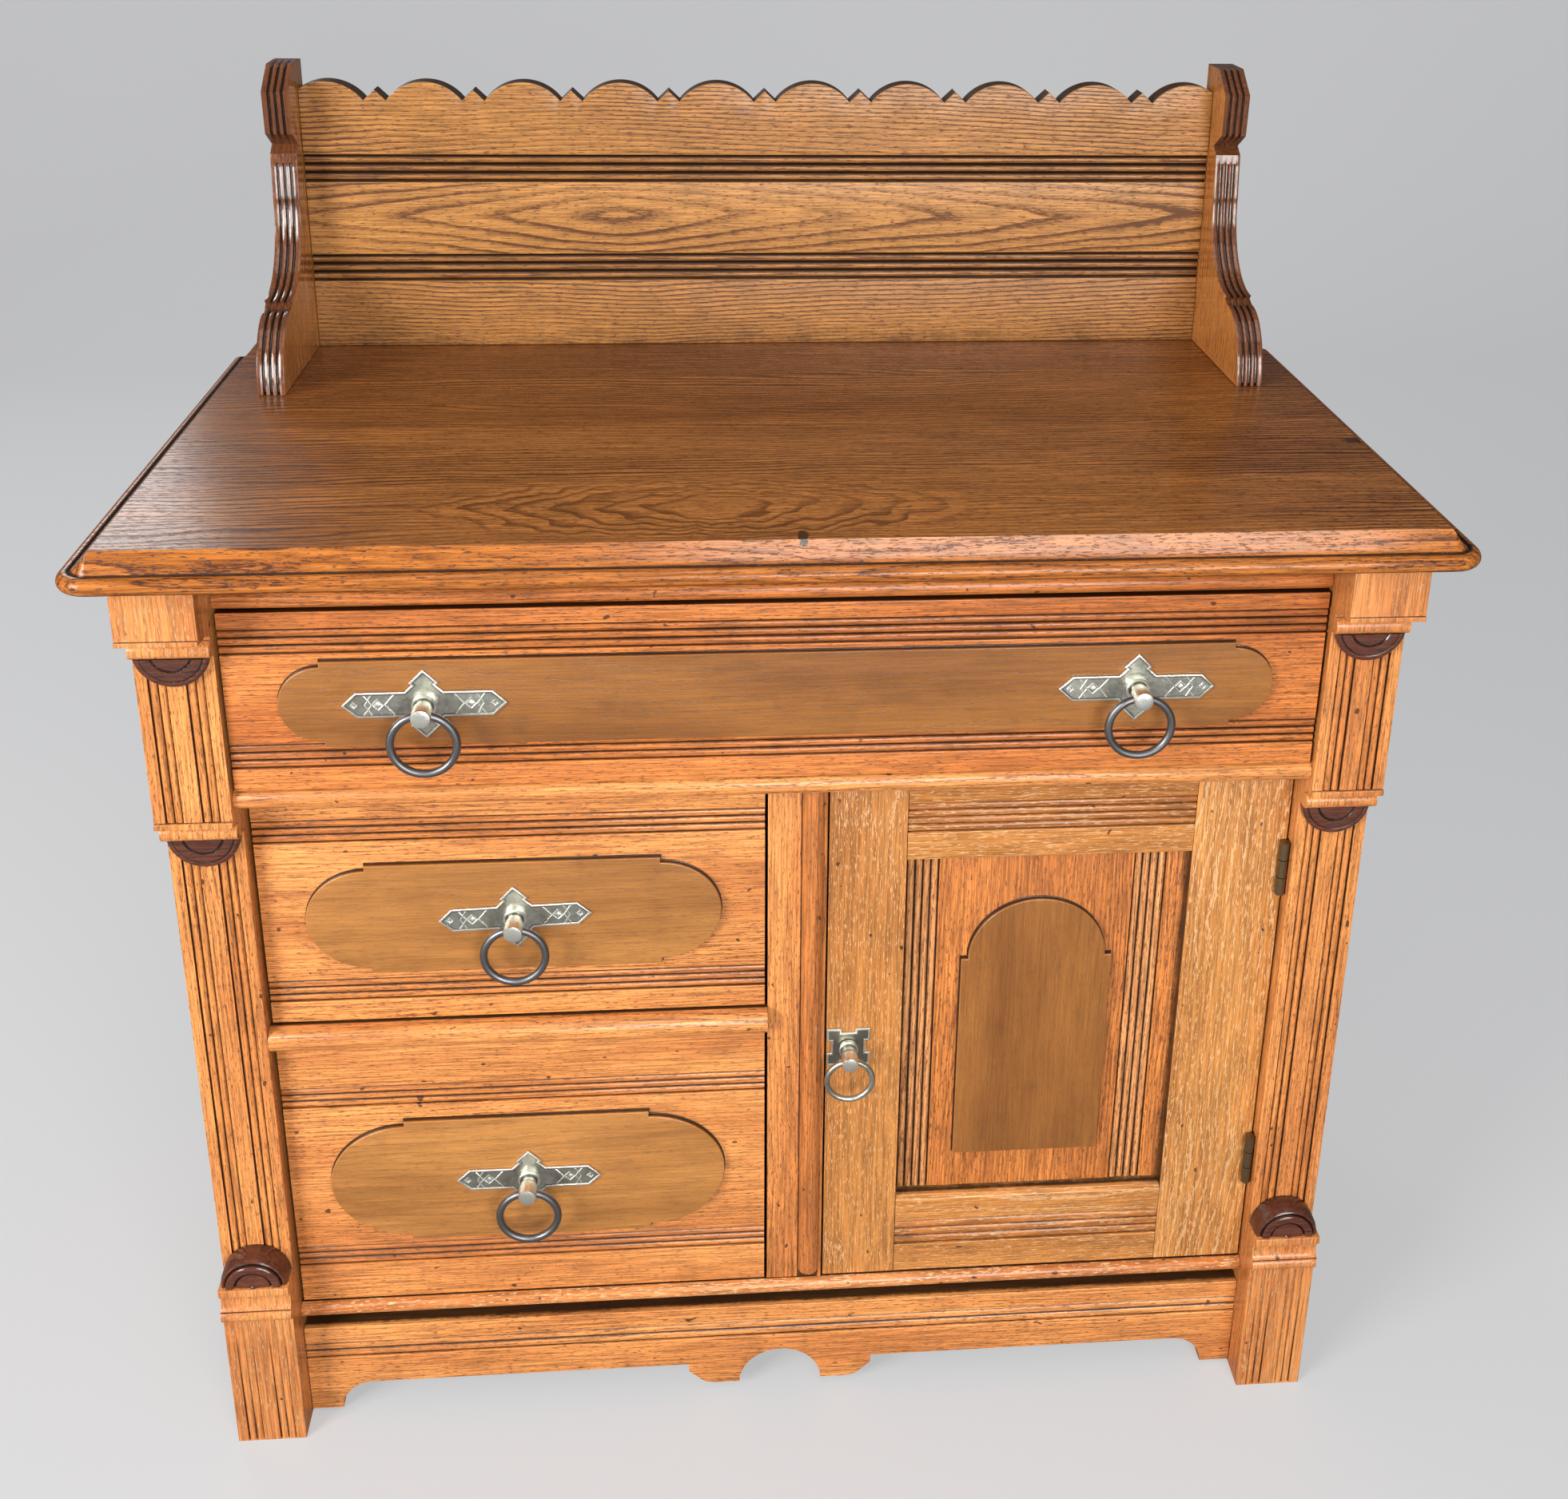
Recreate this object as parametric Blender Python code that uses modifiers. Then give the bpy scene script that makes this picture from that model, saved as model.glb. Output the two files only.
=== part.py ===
"""A washstand of about 1890: reeded posts, a long drawer over two short ones and a cupboard, and a
splash back between two shaped brackets. Metres, +Z up, +X to the right, the front faces -Y. The
origin is on the floor, under the middle of the top."""

import math

import bmesh
import bpy
from mathutils import Matrix, Vector

# Clearances
JOINT_GAP = 0.0003
SLIDE_GAP = 0.001
DRAWER_SIDE_GAP = 0.002
DOOR_GAP = 0.0012
PIN_GAP = 0.0003
CUT_OVERRUN = 0.003

# The case, measured from the face plane of the short drawers and the door
CASE_WIDTH = 0.804
POST_WIDTH = 0.049
POST_BACK = 0.034
RAIL_BACK = 0.020

# Heights of the front, from the floor up
APRON_HEIGHT = 0.081
APRON_SLOT = 0.0124
BOTTOM_RAIL_HEIGHT = 0.0111
LOWER_OPENING = 0.2285
LOWER_RAIL_HEIGHT = 0.018
MIDDLE_OPENING = 0.185
UPPER_RAIL_HEIGHT = 0.0135
UPPER_OPENING = 0.1265
TOP_RAIL_HEIGHT = 0.039

# The top board
TOP_THICKNESS = 0.025
TOP_OVERHANG_SIDE = 0.022
TOP_OVERHANG_FRONT = 0.090
TOP_OVERHANG_BACK = 0.010
TOP_CORNER_RADIUS = 0.020
TOP_NOSE_RADIUS = 0.0055
TOP_COVE_WIDTH = 0.015
TOP_COVE_SAG = 0.0022
TOP_FILLET = 0.001

# The posts, as projections in front of the face plane and heights of their mouldings
CAP_PROJECTION = 0.058
CAP_HEIGHT = 0.043
CAP_FILLET_HEIGHT = 0.003
CAP_FILLET_STEP = 0.0015
CAP_HOLLOW_HEIGHT = 0.008
NECK_BEAD_RADIUS = 0.00575
NECK_BEAD_PROJECTION = 0.0395
UPPER_SHAFT_PROJECTION = 0.031
LEDGE_DROP = 0.005
LEDGE_HEIGHT = 0.004
LEDGE_PROJECTION = 0.033
WAIST_HOLLOW_HEIGHT = 0.004
WAIST_BEAD_RADIUS = 0.0055
WAIST_BEAD_PROJECTION = 0.025
LOWER_SHAFT_PROJECTION = 0.011
FOOT_HEIGHT = 0.112
FOOT_PROJECTION = 0.0255
FOOT_BLOCK_PROJECTION = 0.030
FOOT_FILLET_HEIGHT = 0.006
FOOT_HOLLOW_HEIGHT = 0.015
FOOT_HOLLOW_DEPTH = 0.0045
FOOT_BEAD_RADIUS = 0.005
FOOT_QUIRK_HEIGHT = 0.004

# Reeds on the posts
POST_REED_MARGIN = 0.0072
POST_REED_PITCH = 0.0058
POST_REED_COUNT = 2
REED_DEPTH = 0.0026
REED_CREST = 0.0003
REED_STEPS = 5

# Roundels on the posts
ROUNDEL_RADIUS = 0.0236
ROUNDEL_STEPS = 28
UPPER_ROUNDEL_RAISE = 0.004
UPPER_ROUNDEL_THICKNESS = 0.005
MIDDLE_ROUNDEL_THICKNESS = 0.006
FOOT_ROUNDEL_THICKNESS = 0.0175
ROUNDEL_PROFILE_SHARES = [
    (0.0, 0.94), (0.50, 0.94), (0.54, 0.80), (0.58, 1.0), (0.80, 1.0),
    (0.84, 0.84), (0.90, 0.90), (0.97, 0.80), (1.0, 0.66), (1.0, 0.0), (0.0, 0.0),
]

# Rails between the posts
TOP_RAIL_PROJECTION = 0.021
TOP_RAIL_THICKNESS = 0.022
TOP_RAIL_BEAD_RADIUS = 0.006
TOP_RAIL_BEAD_PROJECTION = 0.026
UPPER_RAIL_PROJECTION = 0.028
LOWER_RAIL_PROJECTION = 0.012
BOTTOM_RAIL_PROJECTION = 0.006
NOSE_STEPS = 8

# The apron under the bottom rail: shares of half its length and of its height
APRON_PROJECTION = 0.003
APRON_THICKNESS = 0.018
APRON_REED_TOP = 0.066
APRON_REED_PITCH = 0.0072
APRON_REED_COUNT = 2
APRON_END_SHARE = 0.935
APRON_RISE_SHARE = 0.868
APRON_FLAT_SHARE = 0.33
APRON_LOBE_START_SHARE = 0.197
APRON_LOBE_SHARE = 0.132
APRON_LOBE_END_SHARE = 0.088
APRON_FLOOR_SHARE = 0.035
APRON_LOBE_DROP_SHARE = 0.087
APRON_ARCH_SHARE = 0.463
APRON_STEPS = 6

# The divider between the short drawers and the door, and the boards behind
DIVIDER_LEFT = -0.0102
DIVIDER_WIDTH = 0.0406
ASTRAGAL_LEFT = 0.0232
ASTRAGAL_WIDTH = 0.015
ASTRAGAL_PROJECTION = 0.008
ASTRAGAL_FOOT = 0.009
ASTRAGAL_HEAD = 0.004
QUIRK_BEAD_RADIUS = 0.0015
PARTITION_THICKNESS = 0.015
DUST_BOARD_THICKNESS = 0.013
GUIDE_WIDTH = 0.014
GUIDE_HEIGHT = 0.012
GUIDE_GAP = 0.0014
BACK_PANEL_THICKNESS = 0.012
BACK_PANEL_FOOT = 0.080

# The sides: a grooved frame round a flat panel
SIDE_THICKNESS = 0.020
SIDE_INSET = 0.002
SIDE_STILE_WIDTH = 0.055
SIDE_TOP_RAIL_WIDTH = 0.062
SIDE_BOTTOM_RAIL_WIDTH = 0.075
SIDE_FOOT = 0.060
SIDE_PANEL_THICKNESS = 0.008
SIDE_GROOVE_DEPTH = 0.008

# Drawers
FRONT_THICKNESS = 0.020
LONG_DRAWER_PROJECTION = 0.0265
DRAWER_REED_PITCH = 0.0058
DRAWER_REED_COUNT = 3
DRAWER_DEPTH = 0.290
DRAWER_BACK_GAP = 0.0154
BOX_WALL = 0.011
BOX_TOP_DROP = 0.012
BOX_INSET = 0.001
BOTTOM_THICKNESS = 0.0055
BOTTOM_RAISE = 0.010
BOTTOM_GROOVE_DEPTH = 0.005
OVERLAY_THICKNESS = 0.004
LONG_FRONT = {"top_strip": 0.0112, "bottom_strip": 0.0156}
UPPER_FRONT = {"top_strip": 0.0236, "bottom_strip": 0.0162}
LOWER_FRONT = {"top_strip": 0.0366, "bottom_strip": 0.0316}
LONG_OVERLAY = {
    "end_margin": 0.035, "half_height": 0.0298, "end_height": 0.026, "end_length": 0.027, "drop": 0.0,
}
UPPER_OVERLAY = {
    "end_margin": 0.0319, "half_height": 0.0421, "end_height": 0.038, "end_length": 0.041, "drop": 0.0083,
}
LOWER_OVERLAY = {
    "end_margin": 0.0311, "half_height": 0.0524, "end_height": 0.048, "end_length": 0.054, "drop": 0.0048,
}
OVERLAY_STEPS = 16

# Pulls: a pointed back plate with a post, and a ring that hangs through the post
PULL_SPREAD_SHARE = 0.64363
UPPER_PULL_TILT = 1.8
PLATE_THICKNESS = 0.0015
PLATE_HALF_LENGTH = 0.0515
PLATE_HALF_HEIGHT = 0.0088
PLATE_TIP_LENGTH = 0.0092
DIAMOND_REACH = 0.0240
DIAMOND_SHOULDER = 0.0092
DIAMOND_NECK = 0.0075
DIAMOND_NECK_RISE = 0.0015
PULL_POST_LENGTH = 0.020
PULL_COLLAR_RADIUS = 0.0078
PULL_COLLAR_LENGTH = 0.003
PULL_NECK_RADIUS = 0.0054
PULL_HEAD_RADIUS = 0.0064
PULL_HEAD_LENGTH = 0.0115
PULL_HEAD_DOME = 0.0012
RING_RADIUS = 0.0206
RING_WIRE_RADIUS = 0.0026
RING_HOLE_RADIUS = 0.0040
HOLE_STEPS = 18
TURNED_STEPS = 16
RING_STEPS = 24
WIRE_STEPS = 8

# The door, a grooved frame round a reeded panel with an arched overlay
LATCH_STILE_WIDTH = 0.0536
HINGE_STILE_WIDTH = 0.0662
DOOR_TOP_RAIL_WIDTH = 0.068
DOOR_BOTTOM_RAIL_WIDTH = 0.069
DOOR_THICKNESS = 0.020
DOOR_PANEL_SINK = 0.009
DOOR_PANEL_THICKNESS = 0.008
DOOR_GROOVE_DEPTH = 0.0065
DOOR_BEVEL = 0.0025
DOOR_TOP_REED_DROP = 0.0235
DOOR_TOP_REED_COUNT = 4
DOOR_BOTTOM_REED_DROP = 0.0223
DOOR_BOTTOM_REED_PITCH = 0.0074
DOOR_BOTTOM_REED_COUNT = 3
PANEL_REED_COUNT = 4
PANEL_REED_LEFT = 0.0013
PANEL_REED_RIGHT = 0.015
ARCH_LEFT = 0.042
ARCH_WIDTH = 0.108
ARCH_FOOT = 0.035
ARCH_SHOULDER_HEIGHT = 0.1705
ARCH_STEP = 0.0048
ARCH_RISE = 0.048

# Hinges
HINGE_LENGTH = 0.042
HINGE_INSET = 0.060
HINGE_FOOT_INSET = 0.074
KNUCKLE_RADIUS = 0.0034
KNUCKLE_FORWARD = 0.0039
KNUCKLE_BORE_RADIUS = 0.0017
LEAF_THICKNESS = 0.0015
LEAF_WIDTH = 0.015
LEAF_ROOT = 0.0012
KNUCKLE_STEPS = 14

# The door's turn latch
LATCH_HEIGHT = 0.2083
LATCH_PLATE_HALF = 0.0155
LATCH_NOTCH_HALF = 0.005
LATCH_NOTCH_DEPTH = 0.0032
LATCH_OFFSET = 0.0158
LATCH_POST_LENGTH = 0.020
LATCH_COLLAR_RADIUS = 0.0068
LATCH_COLLAR_LENGTH = 0.0035
LATCH_NECK_RADIUS = 0.0054
LATCH_HEAD_RADIUS = 0.0058
LATCH_HEAD_LENGTH = 0.0100
LATCH_RING_RADIUS = 0.0161
LATCH_WIRE_RADIUS = 0.0021
LATCH_HOLE_RADIUS = 0.0035
SPINDLE_RADIUS = 0.0030
TONGUE_LENGTH = 0.031
TONGUE_WIDTH = 0.010
TONGUE_THICKNESS = 0.0025
TONGUE_GAP = 0.0006

# The splash board and its brackets
SPLASH_THICKNESS = 0.020
SPLASH_HEIGHT = 0.207
SCALLOP_PITCH_SHARE = 0.20997
SCALLOP_TEETH = 9
SCALLOP_DEPTH = 0.014
TOOTH_HALF_WIDTH = 0.0084
TOOTH_HEIGHT = 0.008
SCALLOP_STEPS = 9
SPLASH_REED_COUNT = 3
SPLASH_REED_PITCH = 0.0066
SPLASH_REED_MARGIN = 0.0008
SPLASH_LOWER_REEDS = 0.0528
SPLASH_UPPER_REEDS = 0.1307
SPLASH_REED_DEPTH = 0.0034
BRACKET_THICKNESS = 0.0195
BRACKET_MARGIN = 0.0535
BRACKET_HEIGHT = 0.221
BRACKET_DEPTH = 0.145
BRACKET_GROOVE_WIDTH = 0.0018
BRACKET_GROOVE_DEPTH = 0.0024
BRACKET_GROOVES = 3
BRACKET_STEPS = 7
LOBE_DEPTH_SHARE = 0.283
LOBE_HEIGHT_SHARE = 0.24
NOTCH_IN_SHARES = (0.676, 0.253)
NOTCH_OUT_SHARES = (0.697, 0.267)
CURVE_TOP_SHARES = (0.312, 0.556)
NECK_SHARES = (0.286, 0.706)
NECK_NOTCH_SHARES = (0.228, 0.733)
BLOCK_FOOT_SHARES = (0.350, 0.780)
BLOCK_FACE_SHARES = (0.360, 0.922)
BLOCK_TOP_SHARES = (0.200, 1.0)
GROOVE_STOP_SHARE = 0.035

# Worked out from the sizes above
BOARD_TO_BACK = JOINT_GAP + BACK_PANEL_THICKNESS
CASE_BACK = FRONT_THICKNESS + JOINT_GAP + DRAWER_DEPTH + DRAWER_BACK_GAP + BOARD_TO_BACK
TOP_LENGTH = CASE_WIDTH + 2 * TOP_OVERHANG_SIDE
TOP_DEPTH = TOP_OVERHANG_FRONT + CASE_BACK + TOP_OVERHANG_BACK
FACE_Y = TOP_OVERHANG_FRONT - TOP_DEPTH / 2
BACK_Y = FACE_Y + CASE_BACK
TOP_BACK_Y = BACK_Y + TOP_OVERHANG_BACK
OPENING_HALF = CASE_WIDTH / 2 - POST_WIDTH
BOTTOM_RAIL_Z = APRON_HEIGHT + APRON_SLOT
LOWER_OPENING_Z = BOTTOM_RAIL_Z + BOTTOM_RAIL_HEIGHT
LOWER_RAIL_Z = LOWER_OPENING_Z + LOWER_OPENING
MIDDLE_OPENING_Z = LOWER_RAIL_Z + LOWER_RAIL_HEIGHT
UPPER_RAIL_Z = MIDDLE_OPENING_Z + MIDDLE_OPENING
UPPER_OPENING_Z = UPPER_RAIL_Z + UPPER_RAIL_HEIGHT
TOP_RAIL_Z = UPPER_OPENING_Z + UPPER_OPENING
CASE_HEIGHT = TOP_RAIL_Z + TOP_RAIL_HEIGHT
SURFACE_Z = CASE_HEIGHT + TOP_THICKNESS
DIVIDER_RIGHT = DIVIDER_LEFT + DIVIDER_WIDTH
CAP_BOTTOM = CASE_HEIGHT - CAP_HEIGHT
CAP_FILLET_BOTTOM = CAP_BOTTOM - CAP_FILLET_HEIGHT
NECK_BEAD_TOP = CAP_FILLET_BOTTOM - CAP_HOLLOW_HEIGHT
NECK_BEAD_BOTTOM = NECK_BEAD_TOP - 2 * NECK_BEAD_RADIUS
LEDGE_TOP = UPPER_RAIL_Z - LEDGE_DROP
LEDGE_BOTTOM = LEDGE_TOP - LEDGE_HEIGHT
WAIST_BEAD_TOP = LEDGE_BOTTOM - WAIST_HOLLOW_HEIGHT
WAIST_BEAD_BOTTOM = WAIST_BEAD_TOP - 2 * WAIST_BEAD_RADIUS
FOOT_BEAD_BOTTOM = FOOT_HEIGHT + FOOT_QUIRK_HEIGHT
FOOT_BEAD_TOP = FOOT_BEAD_BOTTOM + 2 * FOOT_BEAD_RADIUS
FOOT_HOLLOW_TOP = FOOT_BEAD_TOP + FOOT_HOLLOW_HEIGHT
FOOT_BLOCK_TOP = FOOT_HOLLOW_TOP + FOOT_FILLET_HEIGHT
BRACKET_SPREAD = TOP_LENGTH / 2 - BRACKET_MARGIN - BRACKET_THICKNESS
SCALLOP_PITCH = SCALLOP_PITCH_SHARE * BRACKET_SPREAD
SIDE_OUTER = CASE_WIDTH / 2 - SIDE_INSET
SIDE_INNER = SIDE_OUTER - SIDE_THICKNESS
SIDE_FRONT_Y = FACE_Y + POST_BACK + JOINT_GAP
BOARD_FRONT_Y = FACE_Y + RAIL_BACK + JOINT_GAP
BOARD_BACK_Y = BACK_Y - BOARD_TO_BACK
DOOR_LEFT = DIVIDER_RIGHT + DOOR_GAP
DOOR_RIGHT = OPENING_HALF - DOOR_GAP
DOOR_BOTTOM = LOWER_OPENING_Z + DOOR_GAP
DOOR_TOP = UPPER_RAIL_Z - DOOR_GAP
PANEL_LEFT = DOOR_LEFT + LATCH_STILE_WIDTH
PANEL_RIGHT = DOOR_RIGHT - HINGE_STILE_WIDTH
PANEL_BOTTOM = DOOR_BOTTOM + DOOR_BOTTOM_RAIL_WIDTH
PANEL_TOP = DOOR_TOP - DOOR_TOP_RAIL_WIDTH
PANEL_Y = FACE_Y + DOOR_PANEL_SINK
HINGE_X = OPENING_HALF - JOINT_GAP - KNUCKLE_RADIUS
HINGE_Y = FACE_Y - KNUCKLE_FORWARD
LATCH_X = DOOR_LEFT + LATCH_OFFSET
LATCH_Z = DOOR_BOTTOM + LATCH_HEIGHT

# Points nearer than this are one point
WELD = 0.00001

# An outline's thickness runs along X, along Y or up
ACROSS_X = Matrix(((0, 0, 1, 0), (1, 0, 0, 0), (0, 1, 0, 0), (0, 0, 0, 1)))
ACROSS_Y = Matrix(((1, 0, 0, 0), (0, 0, -1, 0), (0, 1, 0, 0), (0, 0, 0, 1)))
ACROSS_Z = Matrix.Identity(4)

# A turned piece's own top faces the front, the right or straight up
FACING_FRONT = Matrix.Rotation(math.radians(90.0), 4, "X")
FACING_RIGHT = Matrix.Rotation(math.radians(90.0), 4, "Y")
FACING_UP = Matrix.Identity(4)

MATERIALS = {
    "case_wood": ((0.520, 0.225, 0.062), 0.38, 0.0),
    "top_wood": ((0.330, 0.150, 0.055), 0.30, 0.0),
    "splash_wood": ((0.480, 0.235, 0.075), 0.36, 0.0),
    "bracket_wood": ((0.360, 0.150, 0.050), 0.32, 0.0),
    "roundel_walnut": ((0.120, 0.050, 0.030), 0.34, 0.0),
    "overlay_wood": ((0.300, 0.155, 0.060), 0.42, 0.0),
    "inner_pine": ((0.620, 0.430, 0.230), 0.62, 0.0),
    "plate_nickel": ((0.560, 0.540, 0.490), 0.34, 1.0),
    "ring_steel": ((0.230, 0.230, 0.240), 0.30, 1.0),
    "hinge_brass": ((0.260, 0.190, 0.100), 0.42, 1.0),
}


def clear_scene():
    for obj in list(bpy.data.objects):
        bpy.data.objects.remove(obj)


def new_collection(name):
    collection = bpy.data.collections.new(name)
    bpy.context.scene.collection.children.link(collection)
    return collection


def new_material(name, colour, roughness, metallic):
    material = bpy.data.materials.new(name)
    material.use_nodes = True
    shader = material.node_tree.nodes["Principled BSDF"]
    shader.inputs["Base Color"].default_value = (*colour, 1.0)
    shader.inputs["Roughness"].default_value = roughness
    shader.inputs["Metallic"].default_value = metallic
    return material


def front(projection):
    """The Y of a surface that stands this far in front of the face plane."""
    return FACE_Y - projection


def arc(centre, radii, start, stop, steps):
    """Points on an ellipse, at angles in degrees, both ends included."""
    points = []
    for index in range(steps + 1):
        angle = math.radians(start + (stop - start) * index / steps)
        points.append((centre[0] + radii[0] * math.cos(angle), centre[1] + radii[1] * math.sin(angle)))
    return points


def reed_line(start, pitch, count, depth, margin):
    """(place, depth) pairs across a band of reeds: half rounds that stand in a sunk band. The first
    and last points are on the face, at the band's edges."""
    points = [(start, 0.0), (start, depth), (start + margin, depth)]
    for reed in range(count):
        for step in range(1, REED_STEPS + 1):
            turn = math.pi * step / REED_STEPS
            place = start + margin + pitch * (reed + (1 - math.cos(turn)) / 2)
            points.append((place, depth - (depth - REED_CREST) * math.sin(turn)))
    end = start + 2 * margin + pitch * count
    points += [(end, depth), (end, 0.0)]
    return [point for index, point in enumerate(points) if index == 0 or point != points[index - 1]]


def band_cutter(line, face):
    """(place, y) round a cutter for a band of reeds, whose edges run out past the face."""
    places = [place for place, depth in line]
    depths = [-CUT_OVERRUN] + [depth for place, depth in line[1:-1]] + [-CUT_OVERRUN]
    return [(place, face + depth) for place, depth in zip(places, depths)]


def link(name, mesh, collection, origin, parent):
    """Puts a mesh made in world coordinates under its own origin, and under its parent if it has one."""
    mesh.transform(Matrix.Translation(-Vector(origin)))
    obj = bpy.data.objects.new(name, mesh)
    obj.location = Vector(origin)
    if parent:
        obj.parent = parent
        obj.location = Vector(origin) - parent.location
    collection.objects.link(obj)
    return obj


def add_piece(name, mesh, material, parent=None, origin=None):
    if origin is None:
        origin = parent.location if parent else (0.0, 0.0, 0.0)
    obj = link(name, mesh, washstand, origin, parent)
    obj.data.materials.clear()
    obj.data.materials.append(materials[material])
    return obj


def smooth(obj, angle=40.0):
    obj.data.shade_smooth()
    obj.data.set_sharp_from_angle(angle=math.radians(angle))


def combine(obj, mesh, name, operation):
    """Adds a Boolean modifier whose second solid stays in the cutters' collection."""
    origin = obj.location + (obj.parent.location if obj.parent else Vector())
    cutter = link(name, mesh, cutters, origin, obj.parent)
    cutter.hide_render = True
    cutter.display_type = "WIRE"
    modifier = obj.modifiers.new(name, "BOOLEAN")
    modifier.operation = operation
    modifier.solver = "EXACT"
    modifier.object = cutter


def cut(obj, mesh, name):
    combine(obj, mesh, name, "DIFFERENCE")


def join(obj, mesh, name):
    combine(obj, mesh, name, "UNION")


def box(low, high):
    """A box mesh between two opposite corners."""
    low, high = Vector(low), Vector(high)
    size = high - low
    shape = bmesh.new()
    placed = Matrix.Translation((low + high) / 2) @ Matrix.Diagonal((*size, 1.0))
    bmesh.ops.create_cube(shape, size=1.0, matrix=placed)
    mesh = bpy.data.meshes.new("box")
    shape.to_mesh(mesh)
    shape.free()
    return mesh


def joined(meshes):
    """One mesh that holds several closed shapes, for a cutter."""
    shape = bmesh.new()
    for mesh in meshes:
        shape.from_mesh(mesh)
        bpy.data.meshes.remove(mesh)
    whole = bpy.data.meshes.new("cutter")
    shape.to_mesh(whole)
    shape.free()
    return whole


def baked(obj):
    """The evaluated, welded mesh of a temporary object, which is then removed."""
    bpy.context.scene.collection.objects.link(obj)
    bpy.context.view_layer.update()
    graph = bpy.context.evaluated_depsgraph_get()
    mesh = bpy.data.meshes.new_from_object(obj.evaluated_get(graph))
    data = obj.data
    bpy.data.objects.remove(obj)
    if isinstance(data, bpy.types.Curve):
        bpy.data.curves.remove(data)
    else:
        bpy.data.meshes.remove(data)
    shape = bmesh.new()
    shape.from_mesh(mesh)
    bmesh.ops.remove_doubles(shape, verts=shape.verts, dist=WELD)
    bmesh.ops.recalc_face_normals(shape, faces=shape.faces)
    shape.to_mesh(mesh)
    shape.free()
    return mesh


def whole_ends(mesh):
    """Makes each flat end of a prism one face, in place of the triangles that filled it."""
    shape = bmesh.new()
    shape.from_mesh(mesh)
    for upward in (False, True):
        end = [face for face in shape.faces if all((corner.co.z > 0) == upward for corner in face.verts)]
        bmesh.ops.dissolve_faces(shape, faces=end)
    shape.to_mesh(mesh)
    shape.free()


def prism(points, turn, low, high):
    """A flat outline given a thickness. Across X the outline's points are (y, z), across Y they are
    (x, z), and across Z they are (x, y). It fills the space from low to high on that axis."""
    curve = bpy.data.curves.new("outline", "CURVE")
    curve.dimensions = "2D"
    curve.fill_mode = "BOTH"
    curve.extrude = (high - low) / 2
    spline = curve.splines.new("POLY")
    spline.points.add(len(points) - 1)
    for slot, (first, second) in zip(spline.points, points):
        slot.co = (first, second, 0.0, 1.0)
    spline.use_cyclic_u = True
    mesh = baked(bpy.data.objects.new("outline", curve))
    whole_ends(mesh)
    middle = (low + high) / 2
    mesh.transform(turn @ Matrix.Translation((0.0, 0.0, -middle if turn is ACROSS_Y else middle)))
    return mesh


def turned(profile, steps, centre, turn):
    """A profile of (radius, height) points, from the top down its outer side, turned about its axis."""
    mesh = bpy.data.meshes.new("profile")
    corners = [(radius, 0.0, height) for radius, height in profile]
    mesh.from_pydata(corners, [(index, index + 1) for index in range(len(corners) - 1)], [])
    obj = bpy.data.objects.new("profile", mesh)
    screw = obj.modifiers.new("turn", "SCREW")
    screw.axis = "Z"
    screw.steps = steps
    screw.render_steps = steps
    screw.use_merge_vertices = True
    screw.merge_threshold = WELD
    solid = baked(obj)
    solid.transform(Matrix.Translation(centre) @ turn)
    return solid


def cylinder(radius, length, steps, centre, turn):
    """A cylinder whose middle is at the centre."""
    shape = bmesh.new()
    placed = Matrix.Translation(centre) @ turn
    bmesh.ops.create_cone(
        shape, cap_ends=True, segments=steps, radius1=radius, radius2=radius, depth=length, matrix=placed
    )
    mesh = bpy.data.meshes.new("cylinder")
    shape.to_mesh(mesh)
    shape.free()
    return mesh


def ring(radius, wire, centre):
    """A torus that hangs in the XZ plane with the top of its wire's centre line at the centre."""
    bpy.ops.mesh.primitive_torus_add(
        major_radius=radius, minor_radius=wire, major_segments=RING_STEPS, minor_segments=WIRE_STEPS
    )
    obj = bpy.context.object
    mesh = obj.data
    bpy.data.objects.remove(obj)
    mesh.transform(Matrix.Translation(Vector(centre) - Vector((0.0, 0.0, radius))) @ FACING_FRONT)
    return mesh


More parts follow.
